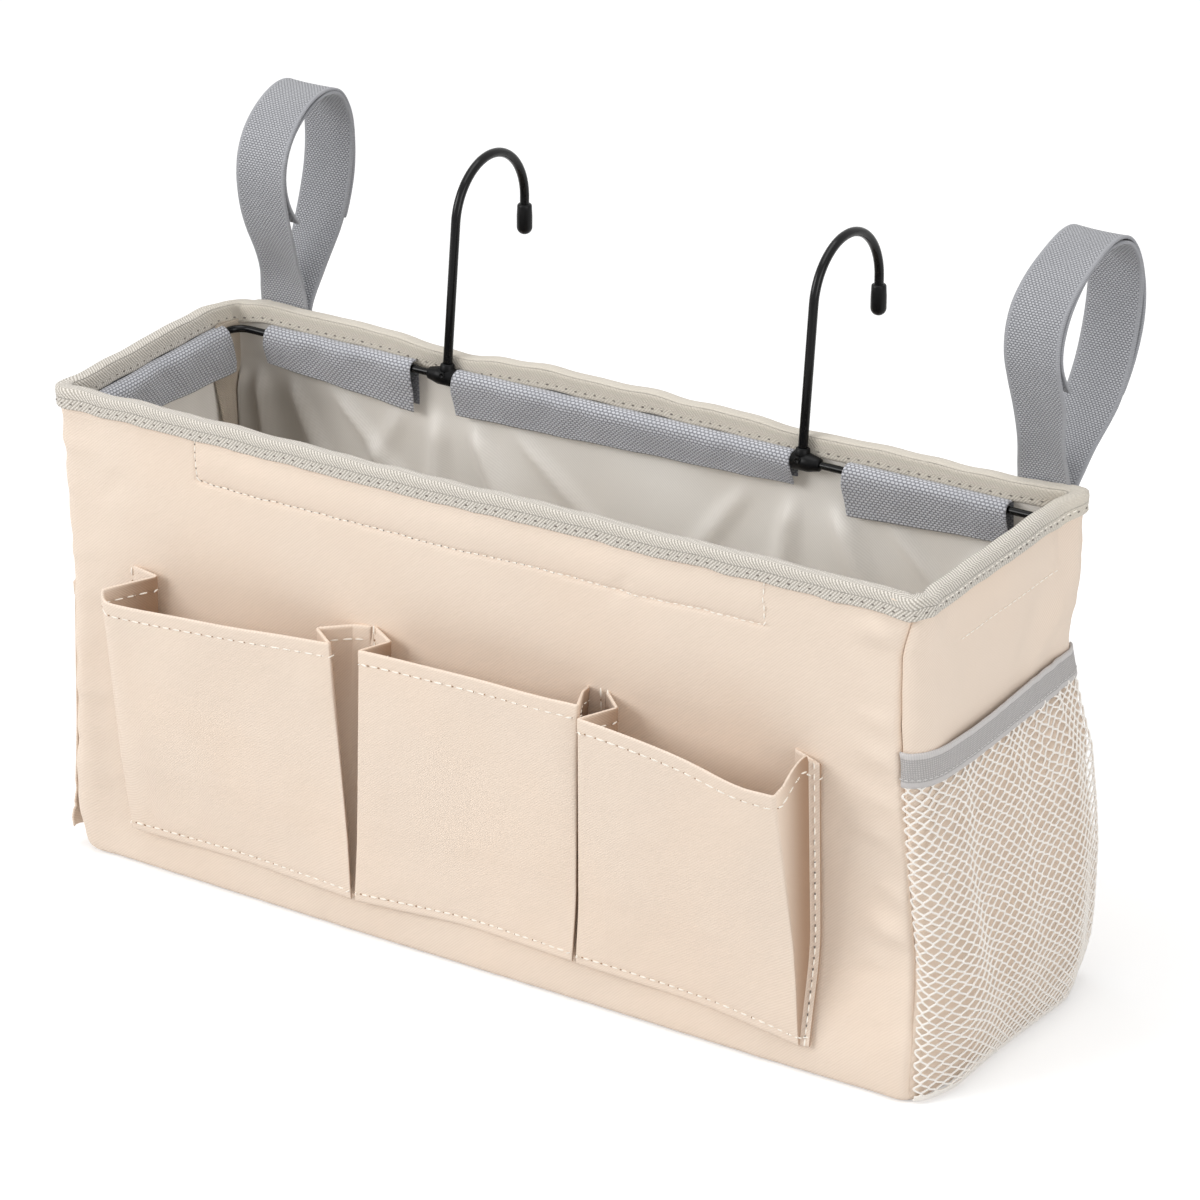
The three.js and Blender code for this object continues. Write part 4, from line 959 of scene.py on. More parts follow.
def lining_wall(wall):
    """A lining wall, seen from inside the box, so its columns run backwards along the loop."""
    begin, end = WALLS[wall]
    z = np.linspace(FLOOR_Z, WALL_TOP - 0.6 * MM, 68)
    columns = int(round((end - begin) / LINING_CELL)) + 1
    z_grid, share = np.meshgrid(z, np.linspace(0, 1, columns), indexing="ij")
    along = begin + (end - begin) * share
    distance = np.minimum(share, 1 - share) * (end - begin)
    seed = 43 + list(WALLS).index(wall)
    free = smooth(188 * MM, 168 * MM, z_grid)
    fall = np.exp(-distance / (26 * MM))
    folds = waves(along, z_grid * 0.12, 18 * MM, seed, 6) * (0.3 + 2.2 * fall) * MM * 0.6
    broad = waves(along, z_grid * 0.5, 55 * MM, seed + 5, 6) * 1.0 * MM
    inwards = np.maximum(0.6 * MM + (folds + broad) * free * 0.8, -0.15 * MM)
    if wall == "back":
        middle = (begin + end) / 2
        for x_at, lean, reach, depth, low in LINING_FOLDS:
            off = (middle - along) - (x_at * MM + lean * (ROD_Z - z_grid))
            held = smooth(181 * MM, 166 * MM, z_grid) * smooth(low * MM, (low + 40) * MM, z_grid)
            widened = reach * MM * (1 + (ROD_Z - z_grid) * 14)
            inwards = inwards + depth * MM * swell(off, 0, widened) * held
    points = settle(on_wall(along, z_grid, -LINING_DEPTH - inwards))
    return Cloth(points[:, ::-1], np.stack([-along, z_grid], -1)[:, ::-1], LINING_CLOTH)


def flat_panel(half_x, half_y, radius, z_at):
    """A plate with round corners, gridded so that its outline follows them."""
    columns, rows = int(2 * half_x / PANEL_CELL), int(2 * half_y / PANEL_CELL)
    u, v = np.meshgrid(np.linspace(-1, 1, columns), np.linspace(-1, 1, rows))
    x, y = u * half_x, v * half_y
    past_x = np.maximum(np.abs(x) - (half_x - radius), 0)
    past_y = np.maximum(np.abs(y) - (half_y - radius), 0)
    reach = np.hypot(past_x, past_y)
    larger = np.maximum(past_x, past_y)
    scale = np.where(reach > 0, larger / np.maximum(reach, 1e-9), 1)
    x = np.sign(x) * (np.abs(x) - past_x + past_x * scale)
    y = np.sign(y) * (np.abs(y) - past_y + past_y * scale)
    return np.stack([x, y, z_at(x, y)], -1)


shell = {wall: shell_wall(wall) for wall in WALLS}
for wall, (begin, end) in WALLS.items():
    shell[wall].lay(f"outer_cloth_{wall}", "shell", "shell_cloth", f"shell_{wall}",
                    (end - begin, WALL_TOP + FOOT_TURN), "stretched", f"board_{wall}")
for wall, (begin, end) in WALLS.items():
    lining_wall(wall).lay(f"inner_cloth_{wall}", "lining", "lining", f"lining_{wall}",
                          (end - begin, WALL_TOP), "stretched", f"board_{wall}")


def underside_z(x, y):
    rise = smooth(0, 60 * MM, SHELL_HALF_X - np.abs(x)) * smooth(0, 26 * MM, SHELL_HALF_Y - np.abs(y))
    return 0.4 * MM + 0.35 * MM * rise * (0.6 + 0.4 * waves(x, y, 60 * MM, 71))


def floor_z(x, y):
    return FLOOR_Z + 0.3 * MM + (0.5 * MM + 0.5 * MM * waves(x, y, 48 * MM, 72, 6)) * 0.8


# How far the bottom laps over the walls' turned feet, and how far the floor lies inside the shell
FOOT_LAP = 0.4 * MM
FLOOR_INSET = 4.4 * MM
# Where each wall's board lies behind the shell's face, and how thick the boards are
BOARD_DEPTH = 2.15 * MM
WALL_BOARD = 0.9 * MM
BASE_BOARD = 1.2 * MM


def lying(grid, thickness):
    """A settled sheet that lies flat, with its own plan as its UV."""
    return Cloth(settle(grid), grid[..., :2], thickness)


under_half = (SHELL_HALF_X - FOOT_TURN + FOOT_LAP, SHELL_HALF_Y - FOOT_TURN + FOOT_LAP)
under = lying(flat_panel(*under_half, 5.6 * MM, underside_z)[:, ::-1], SHELL_CLOTH)
under.lay("outer_cloth_bottom", "shell", "shell_cloth", "shell_bottom",
          (2 * SHELL_HALF_X, 2 * SHELL_HALF_Y), "stretched", "board_base")
inner_half = (SHELL_HALF_X - FLOOR_INSET, SHELL_HALF_Y - FLOOR_INSET)
inside_floor = lying(flat_panel(*inner_half, 3.6 * MM, floor_z), LINING_CLOTH)
inside_floor.lay("inner_cloth_floor", "lining", "lining", "lining_floor",
                 (2 * inner_half[0], 2 * inner_half[1]), "stretched", "board_base")
for wall, (begin, end) in WALLS.items():
    low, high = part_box(f"board_{wall}")
    edge = CORNER_RADIUS + 2 * MM
    along, z = np.meshgrid(np.linspace(begin + edge, end - edge, 60), np.linspace(low.z, high.z, 40))
    board = Cloth(settle(on_wall(along, z, 0 * z - BOARD_DEPTH)), np.stack([along, z], -1), WALL_BOARD)
    board.build(f"stiffening_board_{wall}", "board", "board", [f"board_{wall}"])
low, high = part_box("board_base")
base_half = (high.x - 0.6 * MM, high.y - 0.6 * MM)
base = lying(flat_panel(*base_half, 4 * MM, lambda x, y: 0 * x + (low.z + high.z) / 2), BASE_BOARD)
base.build("stiffening_board_base", "board", "board", ["board_base"])

# Rim binding and corner tapes
BINDING_STEP = 2 * MM
NEEDLE_PITCH = 4.5 * MM
NEEDLE_DENT = 0.2 * MM
# How far from the tape's edges its needle marks lie
NEEDLE_INSET = 1.9 * MM
# Where the tape's end laps over its beginning, on the left end
LAP_AT = SEAMS[3] - 19 * MM


def binding_profile():
    """Stand-off and height round the folded tape, from its outer lower edge to its inner one."""
    mid = BINDING_CLOTH / 2
    outer, inner = 0.3 * MM + mid, -LINING_DEPTH - 0.6 * MM - mid
    top = RIM_TOP - mid
    return rounded_profile([(outer + 0.15 * MM, BINDING_LOW), (outer, BINDING_LOW + 2 * MM), (outer, top),
                            (inner, top), (inner, BINDING_LOW + 2 * MM), (inner - 0.1 * MM, BINDING_LOW)],
                           1.15 * MM, 5)


def rim_binding():
    """The tape folded over the mouth, with its needle dents, ruffles and lap, and its width."""
    profile = dense_line(binding_profile(), 0.9 * MM)
    run = distances(profile)
    width = run[-1]
    columns = int(round(LOOP / BINDING_STEP))
    along, share = np.meshgrid(np.arange(columns) * LOOP / columns, run / width)
    stand_off = np.repeat(profile[:, :1], columns, 1)
    z = np.repeat(profile[:, 1:], columns, 1)
    from_edge = np.minimum(share, 1 - share) * width
    outwards = np.where(share < 0.5, 1, -1)
    ruffle = waves(along, share * 0, 17 * MM, 81, 6) * 0.16 * MM
    needle_dent = (0.5 + 0.5 * np.cos(along / NEEDLE_PITCH * 2 * math.pi)) * NEEDLE_DENT
    near_needle = swell(from_edge, NEEDLE_INSET, 0.9 * MM)
    stand_off = stand_off + outwards * (swell(from_edge, 0, 3 * MM) * (np.abs(ruffle) + 0.1 * MM)
                                        - near_needle * needle_dent + 0.12 * MM)
    z = z + swell(from_edge, 0, 4 * MM) * ruffle * 1.2
    z = z + waves(along, 0 * along, 30 * MM, 82) * 0.25 * MM
    z = z + swell(share, 0.5, 0.2) * waves(along, 0 * along, 16 * MM, 83, 6) * 0.25 * MM
    crumple = swell(along, SEAMS[1] - 3 * MM, 11 * MM)
    stand_off = stand_off + outwards * crumple * waves(along, share * 9 * MM, 7 * MM, 84, 6) * 0.6 * MM
    z = z + crumple * waves(along, share * 5 * MM, 9 * MM, 85, 6) * 0.7 * MM
    lap = smooth(LAP_AT - 0.8 * MM, LAP_AT, along) * smooth(LAP_AT + 9 * MM, LAP_AT + 7 * MM, along)
    points = on_wall(along, z + lap * 0.35 * MM, stand_off + outwards * lap * 0.5 * MM)
    return Cloth(settle(points), np.stack([along, share * width], -1), BINDING_CLOTH, loop=True), width


binding, BINDING_WIDTH = rim_binding()
binding.lay("rim_tape", "binding", "binding", "rim_binding", (LOOP, BINDING_WIDTH), "folded",
            "outer_cloth_front", "outer_cloth_back")

# How far each corner's tape stands in, in millimetres, and how much it leans along the next wall
CORNER_TAPES = {"front_left": (6.8, 0.2), "front_right": (6.8, -0.2), "rear_right": (6.8, 0.1),
                "rear_left": (12.0, 0.9)}
# The tape's fold from above: millimetres across, and shares of its depth inwards
TAPE_FOLD = [(-1.3, 0), (-1.1, 0.38), (-0.7, 0.82), (0, 1), (0.7, 0.82), (1.1, 0.38), (1.3, 0)]
TAPE_ROWS = 90


def corner_tape(name, seam, seed):
    """A tape folded over the corner's raw seam, standing into the box."""
    depth_in, leaning = CORNER_TAPES[name]
    z = np.linspace(FLOOR_Z + 1 * MM, BINDING_LOW + 1 * MM, TAPE_ROWS)
    fold = np.array(TAPE_FOLD) * [MM, depth_in * MM]
    fold = dense_line(rounded_profile(fold, 0.6 * MM, 3), 0.7 * MM)
    at, out = around(np.array([seam]))
    along = np.array([-out[0][1], out[0][0]])
    inner = at[0] - out[0] * (LINING_DEPTH + 0.75 * MM)
    sway = waves(z, 0 * z, 60 * MM, seed, 4) * 2.2 * MM
    depth = 1 + waves(z, 0 * z, 30 * MM, seed + 1, 4) * 0.1
    grid = np.zeros((len(z), len(fold), 3))
    for row, height_here in enumerate(z):
        lean = (sway[row] / (5 * MM) + leaning) * fold[:, 1]
        flat = inner + np.outer(fold[:, 0] + lean, along) - np.outer(fold[:, 1] * depth[row], out[0])
        grid[row] = np.concatenate([flat, np.full((len(fold), 1), height_here)], 1)
    run = distances(grid[TAPE_ROWS // 2])
    uv = np.stack(np.meshgrid(z, run, indexing="ij"), -1)
    tape = Cloth(settle(grid)[:, ::-1], uv[:, ::-1], 0.5 * MM)
    tape.lay(f"corner_seam_tape_{name}", "seam_tape", "binding", f"corner_tape_{name}",
             (z[-1] - z[0], run[-1]), "folded", "inner_cloth_front", "inner_cloth_back")


for index, name in enumerate(CORNER_TAPES):
    corner_tape(name, SEAMS[index], 90 + 3 * index)

# Wire frame, hubs and hooks
ROD_BEND = 7 * MM
HOOK_LEAN = math.radians(8.8)
HOOK_BEND = 24.5 * MM
HOOK_STEM = {"left": 63.2 * MM, "right": 62.2 * MM}
HOOK_TURN = math.radians(176)
HOOK_TAIL = 13 * MM
HUB_RADIUS = 3.7 * MM
WIRE_RADIUS = 1.9 * MM
CAP_RADIUS = 3.2 * MM


def round_frame(half, radius, z):
    """The rod's path: an oblong with round corners."""
    path = []
    for index, (sign_x, sign_y) in enumerate(((1, 1), (-1, 1), (-1, -1), (1, -1))):
        for angle in np.linspace(index * math.pi / 2, (index + 1) * math.pi / 2, 10):
            path.append((sign_x * (half[0] - radius) + radius * math.cos(angle),
                         sign_y * (half[1] - radius) + radius * math.sin(angle), z))
    return np.array(path)


piece = tube("wire_ring", round_frame(ROD_HALF, ROD_BEND, ROD_Z), ROD_RADIUS, 16, closed=True)
finish_piece(piece, "wire", ["wire_frame"])

rise = np.array([0, math.sin(HOOK_LEAN), math.cos(HOOK_LEAN)])
backwards = np.array([0, math.cos(HOOK_LEAN), -math.sin(HOOK_LEAN)])


def hook_path(axis, stem):
    """A hook's line up from its hub, over and down, and its last direction."""
    bend = axis + rise * stem + backwards * HOOK_BEND
    path = [axis + rise * share for share in np.linspace(2.7 * MM, stem, 14)[:-1]]
    for angle in np.linspace(0, HOOK_TURN, 44):
        path.append(bend - HOOK_BEND * (backwards * math.cos(angle) - rise * math.sin(angle)))
    onward = unit(path[-1] - path[-2])
    path += [path[-1] + onward * share for share in np.linspace(0, HOOK_TAIL, 5)[1:]]
    return np.array(path), onward


def quarter_round(start, radius_from, radius_to, along, steps=6):
    """Lathe points that round an edge over, going along from start."""
    angle = np.linspace(0, math.pi / 2, steps)
    return [(start + along * math.sin(a), radius_to + (radius_from - radius_to) * math.cos(a)) for a in angle]


# The lathe outlines of a hub's barrel, the socket that holds the wire and the little eye in front,
# and of the cap on the wire's tip: distance along the axis and radius, in millimetres
BARREL_END = [(4.0, 3.55), (5, 3.3), (6.6, 2.9), (8.2, 2.55), (8.5, 2.1)]
SOCKET = [(0, 2.9), (3.0, 3.2), (3.9, 3.0), (5.0, 2.85), (5.3, 2.6), (5.4, 2.0)]
EYE = [(3.2, 1.35), (3.85, 1.3), (4.0, 1.1), (4.0, 0.85), (3.72, 0.7)]
CAP_SKIRT = [(0, 2.0), (0.1, 2.5), (0.4, 2.85), (0.9, 3.0), (2.6, 3.06), (5.0, 3.2)]
CAP_REACH = 10.8 * MM
EYE_RISE = 1.2 * MM


def in_mm(outline):
    return [(along * MM, radius * MM) for along, radius in outline]


def hook_hub(side, axis, outboard):
    """A hub on the rod, with its barrel, socket and eye."""
    barrel = ([(-4 * MM, 2.1 * MM)] + quarter_round(-4 * MM, 3.0 * MM, HUB_RADIUS, 0.7 * MM)
              + [(3.2 * MM, HUB_RADIUS)] + in_mm(BARREL_END))
    parts = [turned("barrel", barrel, axis, (outboard, 0, 0)),
             turned("socket", in_mm(SOCKET), axis, rise, 24),
             turned("eye", in_mm(EYE), axis + rise * EYE_RISE, (0, -1, 0.12), 20)]
    return join_pieces(f"hook_hub_{side}", parts)


def hook_cap(side, start, onward):
    """The domed cap on a hook's tip."""
    dome = quarter_round(9.8 * MM, CAP_RADIUS, 0.05 * MM, 3.15 * MM, 9)
    return turned(f"hook_end_cap_{side}", in_mm(CAP_SKIRT) + dome, start, onward)


for side, x in HOOK_X.items():
    axis = np.array([x, ROD_HALF[1], ROD_Z])
    path, onward = hook_path(axis, HOOK_STEM[side])
    body = f"hook_{side}_body"
    wire = tube(f"hook_wire_{side}", path, WIRE_RADIUS, 24)
    finish_piece(wire, "wire", [f"hook_{side}"], body)
    hub = hook_hub(side, axis, 1 if x > 0 else -1)
    finish_piece(hub, "plastic", [f"hub_{side}"], body)
    cap = hook_cap(side, path[-1] - onward * CAP_REACH, onward)
    finish_piece(cap, "rubber", [f"hook_cap_{side}"], body)

# Sleeves over the wire frame
INNER_FACE = 4 * MM
SLEEVE_CLOTH = 0.9 * MM
# Distance inwards from the lining and height, from the lip up round the wire to the seam
SLEEVE_LIP = 177.0 * MM
SLEEVE_LINE = np.array([(5.3, 177.0), (5.5, 178.6), (5.8, 181.0), (6.3, 184.2), (6.8, 187.4), (7.2, 190.6),
                        (7.35, 193.0), (7.0, 195.0), (5.6, 196.5), (3.8, 196.9), (2.2, 196.6)]) * MM
# Height of each sleeve's lip at the two ends of its run round the box, in millimetres
SLEEVE_LIPS = {"rear_left": (175.4, 181.6), "rear_middle": (183.6, 178.6), "rear_right": (180.6, 175.6),
               "left_end": (175.2, 180.4), "right_end": (178, 178), "front": (178, 178)}
# How deeply each sleeve is creased, and how far the left end's lip runs on at its rear end
SLEEVE_CREASE = {"left_end": 0.75 * MM, "rear_left": 0.45 * MM}
PLAIN_CREASE = 0.3 * MM
LIP_RUNS_ON = {"left_end": 6.5 * MM}
# Below this height a sleeve's shape follows its lip
LIP_FREE_Z = 192 * MM
# The hook tape behind a sleeve: how far off the wall, how far above the lip, its top and thickness
GRIP_STAND = 0.75 * MM
GRIP_RISE = 1.5 * MM
GRIP_TOP = 196.3 * MM
GRIP_TAPE = 0.7 * MM
GRIP_WIDTH = 18.7 * MM


def lip_height(name, share):
    """The height of a sleeve's lip at shares of its run."""
    return mix(*SLEEVE_LIPS[name], share) * MM


def loop_sleeve(name, seed):
    """A sleeve that wraps the rod, and its width from lip to seam."""
    low, high = sleeve_run(name)
    columns = int((high - low) / FINE_CELL) + 1
    line = flowing(SLEEVE_LINE, 34)
    share = np.linspace(0, 1, columns)
    along = np.repeat((low + (high - low) * share)[None], len(line), 0)
    inwards = np.repeat(line[:, :1], columns, 1)
    z = np.repeat(line[:, 1:], columns, 1)
    from_end = np.minimum(share, 1 - share) * (high - low)
    lip = smooth(LIP_FREE_Z, SLEEVE_LIP, z)
    follows = np.clip((LIP_FREE_Z - z) / (LIP_FREE_Z - SLEEVE_LIP), 0, 1)
    z = z + (lip_height(name, share) - SLEEVE_LIP) * follows
    belly = swell(z, 189 * MM, 7 * MM)
    crease = SLEEVE_CREASE.get(name, PLAIN_CREASE) * belly
    inwards = inwards + crease * waves(along, z * 0.3, 15 * MM, 120 + seed, 6)
    inwards = inwards + lip * 0.3 * MM * waves(along, 0 * z, 24 * MM, 140 + seed, 5)
    inwards = inwards + 0.7 * MM * np.exp(-from_end / (3.5 * MM)) * smooth(182 * MM, 190 * MM, z) * belly
    z = z + lip * 0.15 * MM * waves(along, 0 * z, 26 * MM, 150 + seed, 5)
    flare = 0.8 * MM * np.exp(-from_end / (3 * MM)) * np.sign(share - 0.5)
    along = along + flare * swell(z, 187 * MM, 8 * MM)
    along = along - LIP_RUNS_ON.get(name, 0) * (1 - share) ** 2 * smooth(196 * MM, SLEEVE_LIP, z)
    points = on_wall(along, z, -INNER_FACE - np.maximum(inwards, 1.6 * MM))
    width = distances(line)[-1]
    run = np.linspace(0, width, len(line))
    uv = np.stack([-along, np.repeat(run[:, None], columns, 1)], -1)
    return Cloth(points[:, ::-1], uv[:, ::-1], SLEEVE_CLOTH), width


def hook_strip(name):
    """The strip of hook tape on the lining that a sleeve closes on."""
    low, high = sleeve_run(name)
    columns = int((high - low) / FINE_CELL) + 1
    rise, share = np.meshgrid(np.linspace(0, 1, 14), np.linspace(0, 1, columns), indexing="ij")
    along = mix(low, high, share)
    z = mix(lip_height(name, share) + GRIP_RISE, GRIP_TOP, rise)
    points = on_wall(along, z, 0 * z - INNER_FACE - GRIP_STAND)
    return Cloth(points[:, ::-1], np.stack([-along, z], -1)[:, ::-1], GRIP_TAPE)


for index, (name, wall) in enumerate(SLEEVE_WALLS.items()):
    low, high = sleeve_run(name)
    cloth, width = loop_sleeve(name, index)
    cloth.lay(f"loop_sleeve_{name}", "sleeve", "sleeve", f"sleeve_{name}", (high - low, width), "folded",
              "wire_ring", body=f"sleeve_{name}_body")
    hook_strip(name).lay(f"hook_strip_{name}", "grip", "grip_tape", f"grip_tape_{name}",
                         (high - low, GRIP_WIDTH), "laid", f"inner_cloth_{wall}")

# Webbing loops
WEBBING_WIDTH = 23 * MM
WEBBING = 1.3 * MM
BAND_GAP = 1.6 * MM
# Y and height of each loop's line, from the front root up, over and down to the rear root, and
# the places in it where the outer band ends and the inner band begins
LOOPS = {
    "left": ([(60, 197), (60.3, 206), (60, 216), (57, 226), (52, 238), (48.2, 250), (46.9, 261),
              (48.8, 271), (54, 280), (62, 287), (72, 291.2), (82, 291.4), (90, 287), (95.2, 277),
              (96.3, 265), (94.6, 252), (90.8, 240), (86, 230.5), (80, 222.5), (73.5, 215), (67, 208),
              (63.6, 202), (63.2, 197)], 0.8, 0.2),
    "right": ([(60, 197), (60.3, 206), (59, 218), (56, 233), (52.2, 246), (50.2, 257), (52, 268),
               (57.5, 277.5), (68, 285.5), (82, 290.6), (95, 292.2), (105.5, 289), (112, 280),
               (114.4, 266), (112.6, 251), (107, 237.5), (98.5, 226.8), (90, 219.6), (80.5, 212.3),
               (71.5, 205.5), (65, 200.6), (63.2, 197)], 0.81, 0.185),
}
# How a band narrows where it leaves its root: how far from it, over what reach and by what share
NECK_AT = 24 * MM
NECK_REACH = 13 * MM
NECK_SHARE = 0.15
# How far the inner band's free end has peeled off the outer one, and over what length
PEEL = 4.6 * MM
PEEL_REACH = 27 * MM
# The roots: two layers of webbing on the rear wall, how far out they lie and between what heights
ROOT_LAYERS = (0.95 * MM, 2.45 * MM)
ROOT_LOW, ROOT_HIGH = 172 * MM, 196.6 * MM


def band_cloth(x, line, begin, end, inward, seed):
    """One band of a webbing loop between two shares of its line, and the band's length."""
    first, last = int(begin * (len(line) - 1)), int(end * (len(line) - 1))
    part = line[first:last + 1]
    ahead = unit(np.gradient(line, axis=0))[first:last + 1]
    inside = np.stack([ahead[:, 1], -ahead[:, 0]], -1)
    across = np.concatenate([[-0.5, -0.493], np.linspace(-0.47, 0.47, 17), [0.493, 0.5]])
    length = distances(part)[-1]
    place, side = np.meshgrid(np.linspace(0, 1, len(part)) * length, across, indexing="ij")
    to_root = place if begin == 0 else length - place
    neck = swell(to_root, NECK_AT, NECK_REACH)
    seated = smooth(0, 14 * MM, to_root)
    ripple = waves(place, side * WEBBING_WIDTH, 40 * MM, seed, 5) * 0.3 * MM
    cup = ((side ** 2 - 0.08) * (1.3 + 7 * neck) * MM + ripple) * seated
    peel = PEEL * np.clip(1 - place / PEEL_REACH, 0, 1) ** 2 if begin else 0 * place
    yz = part[:, None] - inside[:, None] * (cup - inward - peel)[..., None]
    sway = waves(place, 0 * place, 60 * MM, seed + 3, 4) * 0.6 * MM * seated
    width = WEBBING_WIDTH * (1 - NECK_SHARE * neck)
    grid = np.concatenate([(x + side * width + sway)[..., None], yz], -1)
    uv = np.stack([(side + 0.5) * WEBBING_WIDTH, place], -1)
    return Cloth(grid, uv, WEBBING), length


def root_layer(x_at, depth, seed):
    """One layer of a root, flat on the rear wall."""
    z, share = np.meshgrid(np.linspace(ROOT_LOW, ROOT_HIGH, 20), np.linspace(0.5, -0.5, 20), indexing="ij")
    y = SHELL_HALF_Y + depth + 0.15 * MM * waves(share * WEBBING_WIDTH, z, 9 * MM, seed)
    grid = np.stack([x_at + share * WEBBING_WIDTH, y, z], -1)
    return Cloth(grid, np.stack([(0.5 - share) * WEBBING_WIDTH, z], -1), WEBBING)


strap_roots = {}
for index, (side, (places, outer_end, inner_begin)) in enumerate(LOOPS.items()):
    line = flowing(np.array(places) * MM, 190)
    for band, begin, end, inward in (("outer", 0, outer_end, 0), ("inner", inner_begin, 1, BAND_GAP)):
        cloth, length = band_cloth(STRAP_X[side], line, begin, end, inward, 170 + 5 * index + len(band))
        cloth.lay(f"webbing_{band}_{side}", "webbing", "webbing", f"strap_{band}_{side}",
                  (WEBBING_WIDTH, length), "hung", f"strap_root_{side}", body=f"strap_{side}_body")
    layers = [root_layer(STRAP_X[side], depth, 190 + index) for depth in ROOT_LAYERS]
    strap_roots[side] = layers[-1]
    parts = [layer.build(f"root_layer_{n}", "webbing", "webbing") for n, layer in enumerate(layers)]
    root = join_pieces(f"webbing_root_{side}", parts)
    finish_piece(root, "webbing", [f"strap_root_{side}"])

# Front pockets
POCKET_CLOTH = 0.9 * MM
HEM_CLOTH = 1.35 * MM
HEM_DROP = 5.5 * MM
FOOT_SEAM = 3.4 * MM
# How deep the pleats fold back under a pocket's foot, in millimetres
PLEAT = 17
# Each foot from its left wall seam to its right one, and how its lower edge climbs, in millimetres
FEET = {"left": (-170, -58.4), "middle": (-57.8, 47.6), "right": (48.2, 155.6)}
FOOT_LINE = [(-170, -57, 1, 49, 128, 155), (19.0, 17.5, 19.9, 19.4, 15.9, 13.2)]
# Each mouth from its left wall seam to its right one: X, how far it stands out, and height, in
# millimetres. They are the seam, the crease, the corner, four places on the front, the other
# corner, its crease, the flat end of the fold and the seam.
MOUTHS = {
    "left": [(-164.3, 0.8, 134.5), (-150.4, 4, 134.6), (-162.6, 24, 133.8), (-160.4, 26, 129.4),
             (-138, 26, 130.4), (-100, 24.6, 132.6), (-74, 22, 133.8), (-55, 20, 134.4),
             (-67.5, 11, 134.6), (-56, 2.4, 135.2), (-48.8, 0.8, 135.6)],
    "middle": [(-47, 0.8, 136), (-35.8, 6.5, 134.5), (-41, 20.4, 135), (-33, 21, 135.8),
               (-18, 21.4, 136.4), (16, 22.8, 137.6), (42, 23.8, 138), (62, 23.2, 138.2),
               (55.6, 10, 137), (53.4, 3.4, 135.5), (51.8, 0.8, 134.4)],
    "right": [(60.6, 0.8, 134.6), (70.3, 9, 133.4), (63.8, 26, 134.3), (71, 27, 134.4),
              (90, 28.6, 134.1), (112, 29.8, 131.6), (137, 30.6, 126.4), (152.3, 29, 125.6),
              (151.2, 3.6, 129.8), (156.2, 2.4, 128.4), (144.6, 0.8, 131.2)],
}
# The radius of the bend at each of these places but the ends, in millimetres, and how many cells the
# grid has on each span between them and in each bend
FOLD_RADIUS = [1.2, 1.2, 5, 14, 16, 9, 1.2, 1.2, 0.7]
SPAN_CELLS = [9, 11, 6, 9, 16, 9, 8, 11, 6, 6]
FOLD_CELLS = 6
POCKET_LENGTH = 124 * MM


def span_start(span):
    """The first column of a span of a pocket's folded line."""
    return sum(SPAN_CELLS[:span]) + FOLD_CELLS * span


def foot_height(x):
    return np.interp(x, *FOOT_LINE)


def folded_line(points):
    """A line through the corner points with each corner rounded by its own radius, stepped the
    same way whatever its shape, so that two such lines can be blended."""
    line = []
    points = np.asarray(points, float)
    arrive = points[0]
    for index, cells in enumerate(SPAN_CELLS):
        start, stop = points[index], points[index + 1]
        length = np.linalg.norm((stop - start)[:2])
        last = index == len(SPAN_CELLS) - 1
        reach = 0 if last else min(FOLD_RADIUS[index] / max(length, 1e-6), 0.42)
        leave = stop + (start - stop) * reach
        line += [mix(arrive, leave, share) for share in np.linspace(0, 1, cells, endpoint=False)]
        if last:
            line.append(stop)
            break
        onward = points[index + 2] - stop
        reach = min(FOLD_RADIUS[index] / max(np.linalg.norm(onward[:2]), 1e-6), 0.42)
        arrive = stop + onward * reach
        for share in np.linspace(0, 1, FOLD_CELLS, endpoint=False):
            line.append((1 - share) ** 2 * leave + 2 * share * (1 - share) * stop + share ** 2 * arrive)
    return np.array(line)


def foot_points(name):
    """The folded line of a pocket's foot: X, stand-off and height, in millimetres."""
    start, end = FEET[name]
    seat, layer, top = 0.75, 2.2, 3.85  # on the wall, on the pleat's lower layer and on its upper one
    places = [(start, seat), (start + PLEAT, layer), (start + 0.2, top), (start + 8, top), (start + 24, 3),
              ((start + end) / 2, 1.4), (end - 24, 3), (end - 0.2, top), (end - PLEAT, layer),
              (end - PLEAT / 3, 1.3), (end, seat)]
    if name == "right":
        places[6:] = [(end - 26, 3), (151.6, 3.9), (151.2, 2.9), (155.6, 2.1), (144, seat)]
    return [(x, out, foot_height(x)) for x, out in places]


